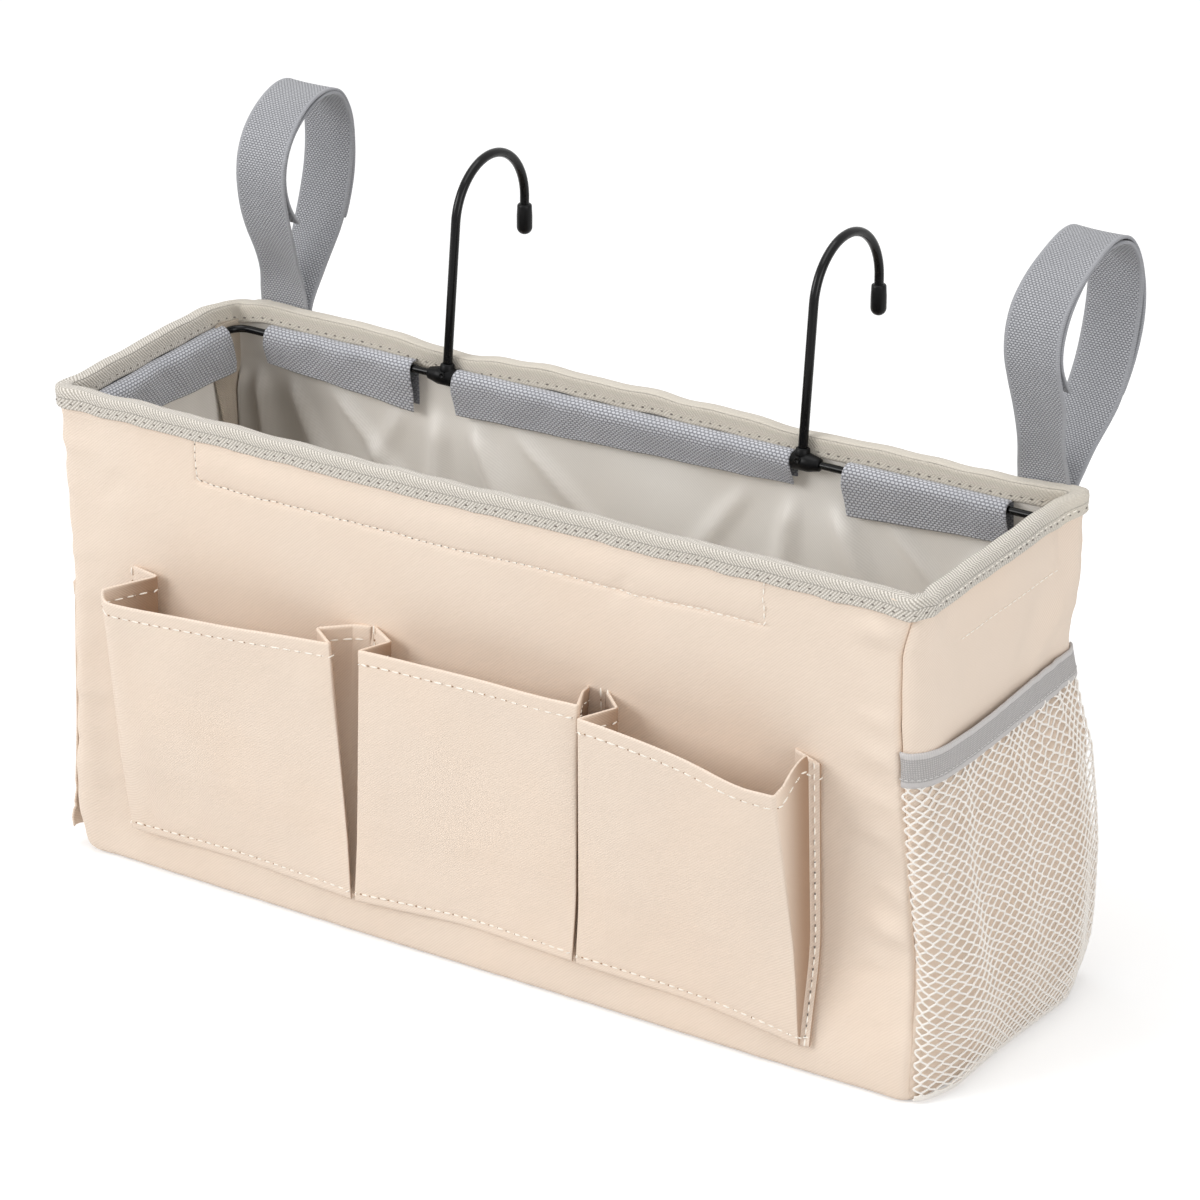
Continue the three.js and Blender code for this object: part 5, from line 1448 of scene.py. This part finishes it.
def pocket_cloth(name, seed):
    """A pleated pocket between its folded foot and its folded mouth, and its width when flat."""
    foot, mouth = folded_line(foot_points(name)), folded_line(MOUTHS[name])
    count = len(foot)
    place = np.arange(count)
    corners = [span_start(2), span_start(7)]
    if name == "right":
        gusset = np.clip((place - corners[1] - 3) / SPAN_CELLS[7], 0, 1)
        mouth[:, 2] += 3 * np.sin(gusset * math.pi)
    rise = np.concatenate([np.linspace(0, 0.06, 8), np.linspace(0.06, 0.94, 52)[1:],
                           np.linspace(0.94, 1, 8)[1:]])
    v = rise[:, None]
    swelling = mix(v, np.minimum(v * 1.9, 0.42 + v * 0.58), 0.35)
    x, z = (mix(foot[None, :, axis], mouth[None, :, axis], v) * MM for axis in (0, 2))
    out = mix(foot[None, :, 1], mouth[None, :, 1], swelling) * MM
    front = np.clip((place - corners[0] - 4) / 10, 0, 1) * np.clip((corners[1] - 4 - place) / 10, 0, 1)
    low, high = foot[None, :, 2] * MM, mouth[None, :, 2] * MM
    free = smooth(low + 6 * MM, low + 26 * MM, z) * smooth(high, high - 22 * MM, z)
    uneven = waves(x, z * 0.6, 52 * MM, seed, 7) * 0.8 * MM + waves(x, z, 19 * MM, seed + 1, 8) * 0.1 * MM
    out = out + uneven * front * free
    stitched = low + FOOT_SEAM
    out = out - 0.5 * MM * swell(z, stitched, 1.2 * MM) * front
    tucks = waves(x, 0 * z, 13 * MM, seed + 2, 6) * 0.25 * MM * swell(z, stitched + 5 * MM, 5 * MM)
    hem_line = high - HEM_DROP
    out = out + (tucks - 0.3 * MM * swell(z, hem_line, 0.9 * MM)) * front
    z = z + swell(v, 1, 0.03) * waves(x, 0 * x, 40 * MM, seed + 3, 5) * 0.15 * MM * front
    points = np.stack([x, -SHELL_HALF_Y - np.maximum(out, 0.75 * MM), z], -1)
    points[..., 1] -= foot_spread(points)
    run = distances(mouth[:, :2]) * MM
    uv = np.stack([np.repeat(run[None], len(rise), 0), z], -1)
    thickness = np.where(z > hem_line, HEM_CLOTH, POCKET_CLOTH) + 0 * x
    return Cloth(points, uv, thickness), run[-1]


pockets = {}
for index, name in enumerate(MOUTHS):
    cloth, width = pocket_cloth(name, 200 + 7 * index)
    pockets[name] = cloth
    cloth.lay(f"pleated_pocket_{name}", "shell", "shell_cloth", f"front_pocket_{name}",
              (width, POCKET_LENGTH), "folded", "outer_cloth_front")

# End pockets, net and elastic
END_MID = {wall: sum(WALLS[wall]) / 2 for wall in ("left_end", "right_end")}
# The flat pocket on the left end: half its width, its heights, how far its middle stands out, and
# the heights of its stitched hem and foot
END_REACH = 53.4 * MM
END_LOW, END_HIGH = 8 * MM, 118 * MM
END_BULGE = 7 * MM
END_HEM_Z = 112.6 * MM
END_FOOT_Z = 18 * MM
END_FLAT = (2.15 * END_REACH, 106 * MM)
# How full it is, at shares of its height
END_HEIGHT_SHARES = [0, 0.04, 0.15, 0.5, 0.85, 1]
END_FULLNESS_SHARES = [0.3, 0.55, 0.9, 1, 0.88, 0.74]
# Where its weave begins, so that it doesn't repeat another pocket's
END_WEAVE_START = 0.9
# How far the pocket's side edges stand off the wall, by height
CUFF_Z = np.array([6, 12, 26, 60, 118]) * MM
CUFF_OUT = np.array([5.0, 4.4, 0.6, 0.0, 0.0]) * MM


def end_pocket():
    """The flat pocket on the left end."""
    across = np.sin(np.linspace(-1, 1, 60) * math.pi / 2) * END_REACH
    v, u = np.meshgrid(np.linspace(0, 1, 56), across, indexing="ij")
    z = mix(END_LOW, END_HIGH, v)
    bulge = np.sin(np.clip(1 - np.abs(u) / END_REACH, 0, 1) * math.pi / 2) ** 1.6
    stand = 0.5 * MM + END_BULGE * np.interp(v, END_HEIGHT_SHARES, END_FULLNESS_SHARES) * bulge
    stand = stand + np.interp(z, CUFF_Z, CUFF_OUT) * swell(u, END_REACH - 1.6 * MM, 4 * MM)
    stand = stand + waves(u, v * 60 * MM, 34 * MM, 230, 6) * 0.4 * MM * bulge * smooth(0, 0.1, v)
    stand = stand - 0.35 * MM * swell(z, END_HEM_Z, 0.9 * MM) - 0.7 * MM * swell(z, END_FOOT_Z, 1.3 * MM)
    z = z + swell(v, 1, 0.05) * waves(u, 0 * u, 30 * MM, 231, 5) * 0.4 * MM
    points = settle(on_wall(END_MID["left_end"] + u, z, stand))
    thickness = np.where(z > END_HEM_Z, HEM_CLOTH, POCKET_CLOTH)
    return Cloth(points, np.stack([u + END_WEAVE_START, z], -1), thickness)


left_pocket = end_pocket()
left_pocket.lay("flat_pocket_left_end", "shell", "shell_cloth", "left_end_pocket", END_FLAT, "stretched",
                "outer_cloth_left_end")

ELASTIC_LOW = 128 * MM
# The elastic's upper edge at its front and rear end, above its rise towards the rear
ELASTIC_TOPS = (140.8 * MM, 138.6 * MM)
ELASTIC_ROWS = 16
ELASTIC_HEIGHT = 12 * MM
# The net's reach towards the rear from the end's middle, and its width for folds and gathers
NET_REAR = 55.5 * MM
NET_SPAN = 118 * MM
# How far the band stands off the wall, at shares of its run from the front seam to the rear
BAND_SHARES = np.array([0, 0.03, 0.08, 0.16, 0.3, 0.45, 0.6, 0.8, 0.95, 1])
BAND_STAND = np.array([0.8, 1.4, 1.8, 2.6, 3.6, 3.6, 3.2, 2.8, 2.2, 0.9]) * MM
# How far the net's foot stands off it
FOOT_STAND = np.array([0.8, 3.0, 4.4, 3.6, 2.8, 2.4, 2.2, 2.0, 1.6, 0.9]) * MM


def net_along(share, z):
    """A place on the right end, between the wandering front seam and the rear corner."""
    return mix(seam_along(SEAMS[1], z) + 1.0 * MM, END_MID["right_end"] + NET_REAR, share)


def across_bulge(share):
    """How full the net's bulge is across its width."""
    return np.sqrt(np.maximum(1 - np.abs(2 * share - 1) ** 3.4, 0))


def band_rise(share):
    """How much higher the elastic lies towards its rear end."""
    return 2.6 * MM * share


def gathers(share, z):
    """Folds that run down from the elastic, strongest near the front seam."""
    strength = 0.55 + 0.8 * np.exp(-share / 0.14) + 0.6 * smooth(0.5, 0.85, share)
    fall = np.exp(-(ELASTIC_LOW - np.minimum(z, ELASTIC_LOW)) / (30 * MM))
    return waves(share * NET_SPAN, (ELASTIC_LOW - z) * 0.12, 7.5 * MM, 240, 6) * strength * fall * 0.6 * MM


def net_stand(share, z):
    """How far the net stands off the right end."""
    rise = np.clip((z - MM) / (ELASTIC_LOW - MM), 0, 1)
    full = (13.8 - 7.4 * share) * MM * across_bulge(share)
    foot = np.interp(share, BAND_SHARES, FOOT_STAND) * (0.5 + 0.5 * smooth(0, 8 * MM, z))
    low_part = mix(foot, np.maximum(full, foot), np.sin(np.clip(rise / 0.36, 0, 1) * math.pi / 2))
    band = np.interp(share, BAND_SHARES, BAND_STAND) - 0.5 * MM
    edges = smooth(0, 0.05, share) * smooth(1, 0.95, share)
    return 0.6 * MM + mix(low_part, band, smooth(0.4, 1.02, rise)) + gathers(share, z) * edges


def elastic_band():
    """The ruffled band that the net is gathered into, and its length."""
    closer = (1 - np.cos(np.linspace(0, math.pi, 130))) / 2
    v, share = np.meshgrid(np.linspace(0, 1, ELASTIC_ROWS), closer, indexing="ij")
    z = mix(ELASTIC_LOW - 0.4 * MM, mix(*ELASTIC_TOPS, share), v) + band_rise(share)
    ruffle = waves(share * NET_SPAN, v * 4 * MM, 5.5 * MM, 245, 6) * np.exp(-share / 0.08)
    stand = np.interp(share, BAND_SHARES, BAND_STAND) + gathers(share, 0 * share + ELASTIC_LOW) * 0.25
    stand = stand + ruffle * 0.25 * MM + (0.5 - v) * 0.4 * MM * across_bulge(share)
    points = on_wall(net_along(share, z), z, stand)
    run = distances(points[ELASTIC_ROWS // 2, :, :2])
    uv = np.stack([np.repeat(run[None], ELASTIC_ROWS, 0), v * ELASTIC_HEIGHT], -1)
    return Cloth(settle(points), uv, np.where((v < 0.14) | (v > 0.88), 1.3 * MM, 1.1 * MM)), run[-1]


elastic, length = elastic_band()
elastic.lay("elastic_top_band", "elastic", "elastic", "elastic_band",
            (length, ELASTIC_HEIGHT + 0.5 * MM), "gathered", "net_mesh")

# Repeats made by Geometry Nodes
class Tree:
    """Places nodes in a geometry tree and links them by socket name or number."""

    def __init__(self, name, inputs):
        self.tree = bpy.data.node_groups.new(name, "GeometryNodeTree")
        self.add_socket("Geometry", "INPUT", "Geometry")
        self.identifiers = {label: self.add_socket(label, "INPUT", kind) for label, kind in inputs.items()}
        self.add_socket("Geometry", "OUTPUT", "Geometry")
        self.given = self.tree.nodes.new("NodeGroupInput").outputs
        self.end = self.tree.nodes.new("NodeGroupOutput").inputs[0]

    def add_socket(self, label, way, kind):
        """Adds an input or output, and gives the identifier by which a modifier sets it."""
        made = self.tree.interface.new_socket(name=label, in_out=way, socket_type=f"NodeSocket{kind}")
        return made.identifier

    def add(self, kind, settings=None, sockets=None):
        made = self.tree.nodes.new(kind)
        for name, value in (settings or {}).items():
            setattr(made, name, value)
        for name, value in (sockets or {}).items():
            if isinstance(value, bpy.types.NodeSocket):
                self.tree.links.new(value, made.inputs[name])
            else:
                made.inputs[name].default_value = value
        return made.outputs

    def finish(self, geometry):
        real = self.add("GeometryNodeRealizeInstances", None, {"Geometry": geometry})
        rounded = self.add("GeometryNodeSetShadeSmooth", None, {"Geometry": real["Geometry"]})
        painted = self.add("GeometryNodeSetMaterial", None,
                           {"Geometry": rounded["Geometry"], "Material": self.given["Finish"]})
        self.tree.links.new(painted["Geometry"], self.end)


def stitch_tree():
    """Small oval stitches laid end to end along lines."""
    made = Tree("stitches", {"Pitch": "Float", "Length": "Float", "Width": "Float", "Seed": "Int",
                             "Finish": "Material"})
    curve = made.add("GeometryNodeMeshToCurve", None, {"Mesh": made.given["Geometry"]})
    stepped = made.add("GeometryNodeResampleCurve", {"mode": "LENGTH"},
                       {"Curve": curve["Curve"], "Length": made.given["Pitch"]})
    tangent = made.add("GeometryNodeInputTangent")
    aim = made.add("FunctionNodeAlignRotationToVector", {"axis": "Z"}, {"Vector": tangent["Tangent"]})
    uneven = made.add("FunctionNodeRandomValue", {"data_type": "FLOAT"},
                      {2: 0.8, 3: 1.12, "Seed": made.given["Seed"]})
    size = made.add("ShaderNodeCombineXYZ", None,
                    {0: made.given["Width"], 1: made.given["Width"], 2: made.given["Length"]})
    varied = made.add("ShaderNodeVectorMath", {"operation": "SCALE"}, {0: size[0], "Scale": uneven[1]})
    oval = made.add("GeometryNodeMeshUVSphere", None, {"Segments": 6, "Rings": 5, "Radius": 0.5})
    placed = made.add("GeometryNodeInstanceOnPoints", None,
                      {"Points": stepped["Curve"], "Instance": oval["Mesh"], "Rotation": aim["Rotation"],
                       "Scale": varied["Vector"]})
    made.finish(placed["Instances"])
    return made


def net_tree():
    """Yarn along lines, with a knot on each point of the lines that is marked as one."""
    made = Tree("knotted_net", {"Yarn Radius": "Float", "Knot Radius": "Float", "Seed": "Int",
                                "Finish": "Material"})
    curve = made.add("GeometryNodeMeshToCurve", None, {"Mesh": made.given["Geometry"]})
    ring = made.add("GeometryNodeCurvePrimitiveCircle", None,
                    {"Resolution": 5, "Radius": made.given["Yarn Radius"]})
    yarn = made.add("GeometryNodeCurveToMesh", None,
                    {"Curve": curve["Curve"], "Profile Curve": ring["Curve"]})
    knotted = made.add("GeometryNodeInputNamedAttribute", {"data_type": "FLOAT"}, {"Name": "knot"})
    is_knot = made.add("FunctionNodeCompare", {"data_type": "FLOAT", "operation": "GREATER_THAN"},
                       {0: knotted["Attribute"], 1: 0.5})
    ball = made.add("GeometryNodeMeshIcoSphere", None,
                    {"Radius": made.given["Knot Radius"], "Subdivisions": 1})
    uneven = made.add("FunctionNodeRandomValue", {"data_type": "FLOAT"},
                      {2: 0.8, 3: 1.2, "Seed": made.given["Seed"]})
    knots = made.add("GeometryNodeInstanceOnPoints", None,
                     {"Points": made.given["Geometry"], "Selection": is_knot["Result"],
                      "Instance": ball["Mesh"], "Scale": uneven[1]})
    both = made.add("GeometryNodeJoinGeometry")
    join = both["Geometry"].node.inputs["Geometry"]
    made.tree.links.new(yarn["Mesh"], join)
    made.tree.links.new(knots["Instances"], join)
    made.finish(both["Geometry"])
    return made


def grown(name, lines, tree, values, finish, marks=None, replaces=()):
    """A plain mesh of what a geometry tree makes along lines of points."""
    points, edges = [], []
    for line in lines:
        start = len(points)
        points += [tuple(map(float, point)) for point in line]
        edges += [(start + index, start + index + 1) for index in range(len(line) - 1)]
    mesh = bpy.data.meshes.new(name)
    mesh.from_pydata(points, edges, [])
    if marks is not None:
        knots = mesh.attributes.new("knot", "FLOAT", "POINT")
        knots.data.foreach_set("value", np.asarray(marks, np.float32))
    piece = bpy.data.objects.new(name, mesh)
    bpy.context.collection.objects.link(piece)
    modifier = piece.modifiers.new("growth", "NODES")
    modifier.node_group = tree.tree
    for label, value in {**values, "Finish": FINISHES[finish]}.items():
        modifier[tree.identifiers[label]] = value
    evaluated = piece.evaluated_get(bpy.context.evaluated_depsgraph_get())
    plain = bpy.data.meshes.new_from_object(evaluated)
    piece.modifiers.clear()
    piece.data = plain
    return finish_piece(piece, finish, replaces)


STITCHES = stitch_tree()
NET = net_tree()


def sew(name, lines, thread, slot, size, holes):
    """Stitches along lines, with the painted shade of a small needle hole, in another finish, between them if
    wanted.
    """
    pitch, length, width = (value * MM for value in size)
    values = {"Pitch": pitch, "Length": length, "Width": width, "Seed": len(name)}
    grown(name, lines, STITCHES, values, thread)
    if holes:
        between = [late_start(line, pitch / 2) for line in lines]
        values.update({"Length": (pitch - length) * 0.8, "Width": width * 0.9})
        grown(f"{name}_needle_holes", between, STITCHES, values, holes)


def late_start(line, distance):
    """A line without its first stretch."""
    run = distances(line)
    return points_at(line, np.concatenate([[distance], run[run > distance + 1e-6]]))


# Net: sinuous yarns side by side that are knotted where neighbours meet, evenly spaced along the
# bulged surface at each height
NET_STRANDS = 46
NET_ROWS = 54
STEPS_PER_ROW = 4
YARN_RADIUS = 0.46 * MM
KNOT_RADIUS = 0.58 * MM
# How far each yarn sways from its own place towards its neighbours, as a share of the gap
YARN_SWAY_SHARE = 0.55
NET_LOW = 1.5 * MM
# The heights of the three yarns that hem the net's foot, and how finely they are stepped
NET_HEMS = (1.5 * MM, 2.2 * MM, 2.9 * MM)
HEM_STEPS = 160
# Where the net is drawn together: middle as a share of its width, reach, and share drawn in
NET_GATHER_SHARES = [(0.27, 0.075, 0.5), (0.56, 0.08, 0.3), (0.9, 0.1, 0.4)]


def even_shares(z, wanted):
    """Shares of the net's width that lie at even steps along its surface, at one height."""
    share = np.linspace(0, 1, 241)
    height = np.full(241, z)
    run = distances(on_wall(net_along(share, height), height, net_stand(share, height)))
    return np.interp(wanted, run / run[-1], share)


def yarn_shares(row, z):
    """Where every yarn lies across the net at one height, rows being counted from the foot."""
    order = np.arange(NET_STRANDS)
    sway = np.cos(row * math.pi) * np.where(order % 2, YARN_SWAY_SHARE, -YARN_SWAY_SHARE)
    wanted = (order + 0.5 + np.clip(sway, -0.5, 0.5)) / NET_STRANDS
    drawn = waves(wanted * NET_SPAN, z * 0.4, 30 * MM, 250, 5) * 0.008 * across_bulge(wanted)
    for middle, reach, pull in NET_GATHER_SHARES:
        drawn = drawn - pull * (wanted - middle) * swell(wanted, middle, reach) * smooth(10 * MM, 70 * MM, z)
    return even_shares(z, np.clip(wanted + drawn * smooth(0, 20 * MM, z), 0, 1))


def net_lines():
    """The lines of all yarns and hems, and which of their points are knots."""
    steps = np.arange(NET_ROWS * STEPS_PER_ROW + 1)
    z = mix(NET_LOW, ELASTIC_LOW + 0.5 * MM, steps / STEPS_PER_ROW / NET_ROWS)
    strands = np.array([yarn_shares(step / STEPS_PER_ROW, height) for step, height in zip(steps, z)]).T
    lines, knots = [], []
    for shares in strands:
        sag = waves(shares * NET_SPAN, z, 30 * MM, 252, 5) * 0.8 * MM
        sag = sag * smooth(0, 12 * MM, z) * smooth(128 * MM, 118 * MM, z)
        sag = sag + band_rise(shares) * smooth(60 * MM, ELASTIC_LOW, z)
        lines.append(settle(on_wall(net_along(shares, z), z + sag, net_stand(shares, z))))
        knots += list((steps % STEPS_PER_ROW == 0).astype(float))
    for hem_z in NET_HEMS:
        share, z = np.linspace(0, 1, HEM_STEPS), np.full(HEM_STEPS, hem_z)
        lines.append(settle(on_wall(net_along(share, z), z, net_stand(share, z))))
        knots += [0.0] * HEM_STEPS
    return lines, knots


lines, knots = net_lines()
yarn = {"Yarn Radius": YARN_RADIUS, "Knot Radius": KNOT_RADIUS, "Seed": 5}
piece = grown("net_mesh", lines, NET, yarn, "net", knots, ["net_pocket"])

# Seams and stitching
def wall_line(wall, along, z, lift):
    """A line on a shell wall, through loop distances and heights."""
    cloth = shell[wall]
    heights = cloth.points[:, 0, 2]
    rows = np.interp(z, heights, np.linspace(0, 1, len(heights)))
    base = cloth.uv[:, :, 0]
    rows_at = np.clip((rows * (len(heights) - 1)).round().astype(int), 0, len(heights) - 1)
    shares = np.linspace(0, 1, base.shape[1])
    columns = np.array([np.interp(place, base[row], shares) for place, row in zip(along, rows_at)])
    return cloth.place(columns, rows, lift)


def seam_outline(wall, low, high):
    """The lower line of a sleeve's seam with its two sides, which the right end doesn't show."""
    sides = np.linspace(BINDING_LOW - 1 * MM, SLEEVE_LOW_Z, 12)
    if wall == "right_end":
        low, sides = low + 10 * MM, sides[:0]
    lower = np.linspace(low, high, int((high - low) / (2 * MM)))
    along = np.concatenate([np.full(len(sides), low), lower, np.full(len(sides), high)])
    z = np.concatenate([sides, np.full(len(lower), SLEEVE_LOW_Z), sides[::-1]])
    return wall_line(wall, along, z, 0.14 * MM)


sleeve_seams = {wall: [seam_outline(wall, low + 0.6 * MM, high - 0.6 * MM)
                       for low, high in stitched_boxes(wall)] for wall in WALLS}
right_seams = sleeve_seams.pop("right_end")
columns = np.linspace(0, 1, 700)
inset_share = NEEDLE_INSET / BINDING_WIDTH
mark_lines = [binding.place(columns, share, 0.02 * MM) for share in (inset_share, 1 - inset_share)]
right_part = np.linspace(SEAMS[1] / LOOP + 0.008, SEAMS[2] / LOOP - 0.008, 90)
end_line = binding.place(right_part, 2.9 * MM / BINDING_WIDTH, 0.15 * MM)


def pocket_line(cloth, ids, drop=None, lift=0.08 * MM):
    """A line across a pocket's columns, under its mouth or along its foot seam."""
    heights = cloth.points[:, :, 2]
    rows = []
    for column in ids:
        level = heights[-1, column] - drop if drop else heights[0, column] + FOOT_SEAM
        rows.append(np.interp(level, heights[:, column], np.linspace(0, 1, heights.shape[0])))
    return cloth.place(ids / (cloth.points.shape[1] - 1), np.array(rows), lift)


hem_lines, foot_lines = [], []
for name, cloth in pockets.items():
    count_columns = cloth.points.shape[1]
    hem_lines.append(pocket_line(cloth, np.arange(span_start(1) + 6, count_columns - 4), HEM_DROP))
    hem_lines.append(pocket_line(cloth, np.arange(4, span_start(2) - 4), HEM_DROP, -HEM_CLOTH - 0.08 * MM))
    foot_lines.append(pocket_line(cloth, np.arange(14, count_columns - 14)))
right_pocket = pockets["right"]
edge_column = (span_start(8) + 3) / (right_pocket.points.shape[1] - 1)
edge_line = right_pocket.place(np.full(60, edge_column), np.linspace(0.02, 0.985, 60), 0.16 * MM)
# Short upright stitch lines where the folds are tacked to the wall: X, stand-off and heights, in
# millimetres
TACKS = [(-164.6, 1.9, 126.2, 132.6), (-160.8, 2.0, 126.6, 132.8), (-46.5, 2.4, 128.6, 135.4),
         (58.6, 2.3, 128.8, 134.4), (61.8, 2.3, 129.0, 134.2)]
for x_at, stand_at, low_at, high_at in TACKS:
    upright = np.linspace(low_at, high_at, 8) * MM
    y_at = -SHELL_HALF_Y - stand_at * MM
    hem_lines.append(np.stack([0 * upright + x_at * MM, 0 * upright + y_at, upright], -1))

flat_lines = []
rows, columns = left_pocket.points.shape[:2]
for level in (END_HEM_Z, END_FOOT_Z):
    row = np.interp(level, left_pocket.points[:, columns // 2, 2], np.linspace(0, 1, rows))
    flat_lines.append(left_pocket.place(np.linspace(0.06, 0.94, 80), row, 0.08 * MM))
elastic_line = elastic.place(np.linspace(0.01, 0.99, 160), 0.22, 0.1 * MM)
# The roots' stitched box and its diagonal, as shares of the webbing's width and height
ROOT_BOX_SHARES = np.array([(0.1, 0.08), (0.9, 0.08), (0.9, 0.92), (0.1, 0.92), (0.1, 0.08), (0.9, 0.92)])
path = dense_line(ROOT_BOX_SHARES, 0.03)
root_lines = {side: root.place(path[:, 0], path[:, 1], 0.1 * MM) for side, root in strap_roots.items()}

# What is sewn: name, lines, thread, slot, the stitches' pitch, length and width in millimetres, and
# the finish of the painted shade of the needle holes between them where they show
all_seams = sum(sleeve_seams.values(), [])
SEWN = [
    ("sleeve_seam_stitches", all_seams, "pale_thread", "shell_cloth", (3.4, 2.6, 0.62), "needle_hole"),
    ("sleeve_seam_stitches_right_end", right_seams, "pale_thread", "shell_cloth", (3.4, 3.0, 0.5), None),
    # The binding's needle marks are painted shade of its needle holes
    ("binding_needle_marks", mark_lines, "needle_hole", "binding", (NEEDLE_PITCH / MM, 1.3, 0.7), None),
    ("binding_end_stitches", [end_line], "pale_thread", "binding", (3.2, 2.5, 0.55), None),
    ("right_pocket_edge_stitches", [edge_line], "pale_thread", "shell_cloth", (4.4, 3.0, 0.75),
     "needle_hole"),
    ("pocket_hem_stitches", hem_lines, "pale_thread", "shell_cloth", (5.0, 3.9, 0.76), "tan_hole_shade"),
    ("pocket_foot_stitches", foot_lines, "pale_thread", "shell_cloth", (4.2, 3.1, 0.76), "tan_hole_shade"),
    ("flat_pocket_stitches", flat_lines, "pale_thread", "shell_cloth", (4.6, 3.5, 0.55), None),
    ("elastic_stitches", [elastic_line], "light_thread", "elastic", (2.4, 1.8, 0.5), None),
    ("root_stitches_left", [root_lines["left"]], "grey_thread", "webbing", (2.4, 1.9, 0.55), None),
    ("root_stitches_right", [root_lines["right"]], "grey_thread", "webbing", (2.4, 1.9, 0.55), None),
]
for seam in SEWN:
    sew(*seam)

# Stage, light and camera
def panel_light(name, place, target, size, power):
    """A soft oblong light that faces its target."""
    light = bpy.data.lights.new(name, "AREA")
    light.shape = "RECTANGLE"
    light.size, light.size_y = size
    light.energy = power
    lamp = bpy.data.objects.new(name, light)
    bpy.context.collection.objects.link(lamp)
    lamp.location = place
    lamp.rotation_euler = (Vector(target) - Vector(place)).to_track_quat("-Z", "Y").to_euler()


FLOOR_HALF = 40.0
FLOOR_DROP = 0.2 * MM
FLOOR_GLOW = 0.36
WORLD_LIGHT = 0.46
ground = Finish("pale_floor", base_color=(0.78, 0.78, 0.78, 1), roughness=1.0, specular_ior_level=0.0,
                emission_color=(1, 1, 1, 1))
ground.set("Emission Strength", ground.seen_white() * FLOOR_GLOW)
corners = ((-1, -1), (1, -1), (1, 1), (-1, 1))
corners = [(x * FLOOR_HALF, y * FLOOR_HALF, -FLOOR_DROP) for x, y in corners]
floor = mesh_object("floor", corners, [(0, 1, 2, 3)])
floor.data.materials.append(ground.material)
sky = Finish("studio", "worlds", "ShaderNodeBackground", color=(1, 1, 1, 1))
sky.set("Strength", sky.seen_white() * (1 - WORLD_LIGHT) + WORLD_LIGHT)
bpy.context.scene.world = sky.material

# Each soft light: name, place, what it faces, width and height, and power
for light in (("key_panel", (-1.5, -1.7, 1.3), (0, 0, 0.1), (1.4, 1.1), 30.5),
              ("top_panel", (-0.1, 0.0, 2.0), (0, 0, 0.1), (1.5, 1.3), 16),
              ("right_panel", (1.9, -0.6, 0.8), (0, 0, 0.08), (1.2, 1.2), 13)):
    panel_light(*light)

# The camera that the photograph was taken with, a long lens: its turns in radians, its distance and
# shift in metres, and its focal length and the picture's width in pixels
YAW, PITCH, ROLL = 0.591952, 0.432896, -0.024131
DISTANCE, SHIFT_RIGHT, SHIFT_UP = 2.497402, 0.015606, 0.122348
FOCAL_PIXELS, PICTURE_PIXELS = 6245.597, 1200
SENSOR_WIDTH = 36
NEAREST, FARTHEST = 0.05, 200
back = Vector((math.sin(YAW) * math.cos(PITCH), -math.cos(YAW) * math.cos(PITCH), math.sin(PITCH)))
right = Vector((math.cos(YAW), math.sin(YAW), 0))
up = back.cross(right)
right_rolled = math.cos(ROLL) * right + math.sin(ROLL) * up
up_rolled = math.cos(ROLL) * up - math.sin(ROLL) * right
lens = bpy.data.cameras.new("camera")
lens.sensor_width = SENSOR_WIDTH
lens.lens = FOCAL_PIXELS / PICTURE_PIXELS * SENSOR_WIDTH
lens.clip_start, lens.clip_end = NEAREST, FARTHEST
camera = bpy.data.objects.new("camera", lens)
bpy.context.collection.objects.link(camera)
camera.matrix_world = Matrix((
    (right_rolled.x, up_rolled.x, back.x, 0), (right_rolled.y, up_rolled.y, back.y, 0),
    (right_rolled.z, up_rolled.z, back.z, 0), (0, 0, 0, 1)))
camera.location = back * DISTANCE + right * SHIFT_RIGHT + up * SHIFT_UP
bpy.context.scene.camera = camera
bpy.context.scene.view_settings.view_transform = "Standard"
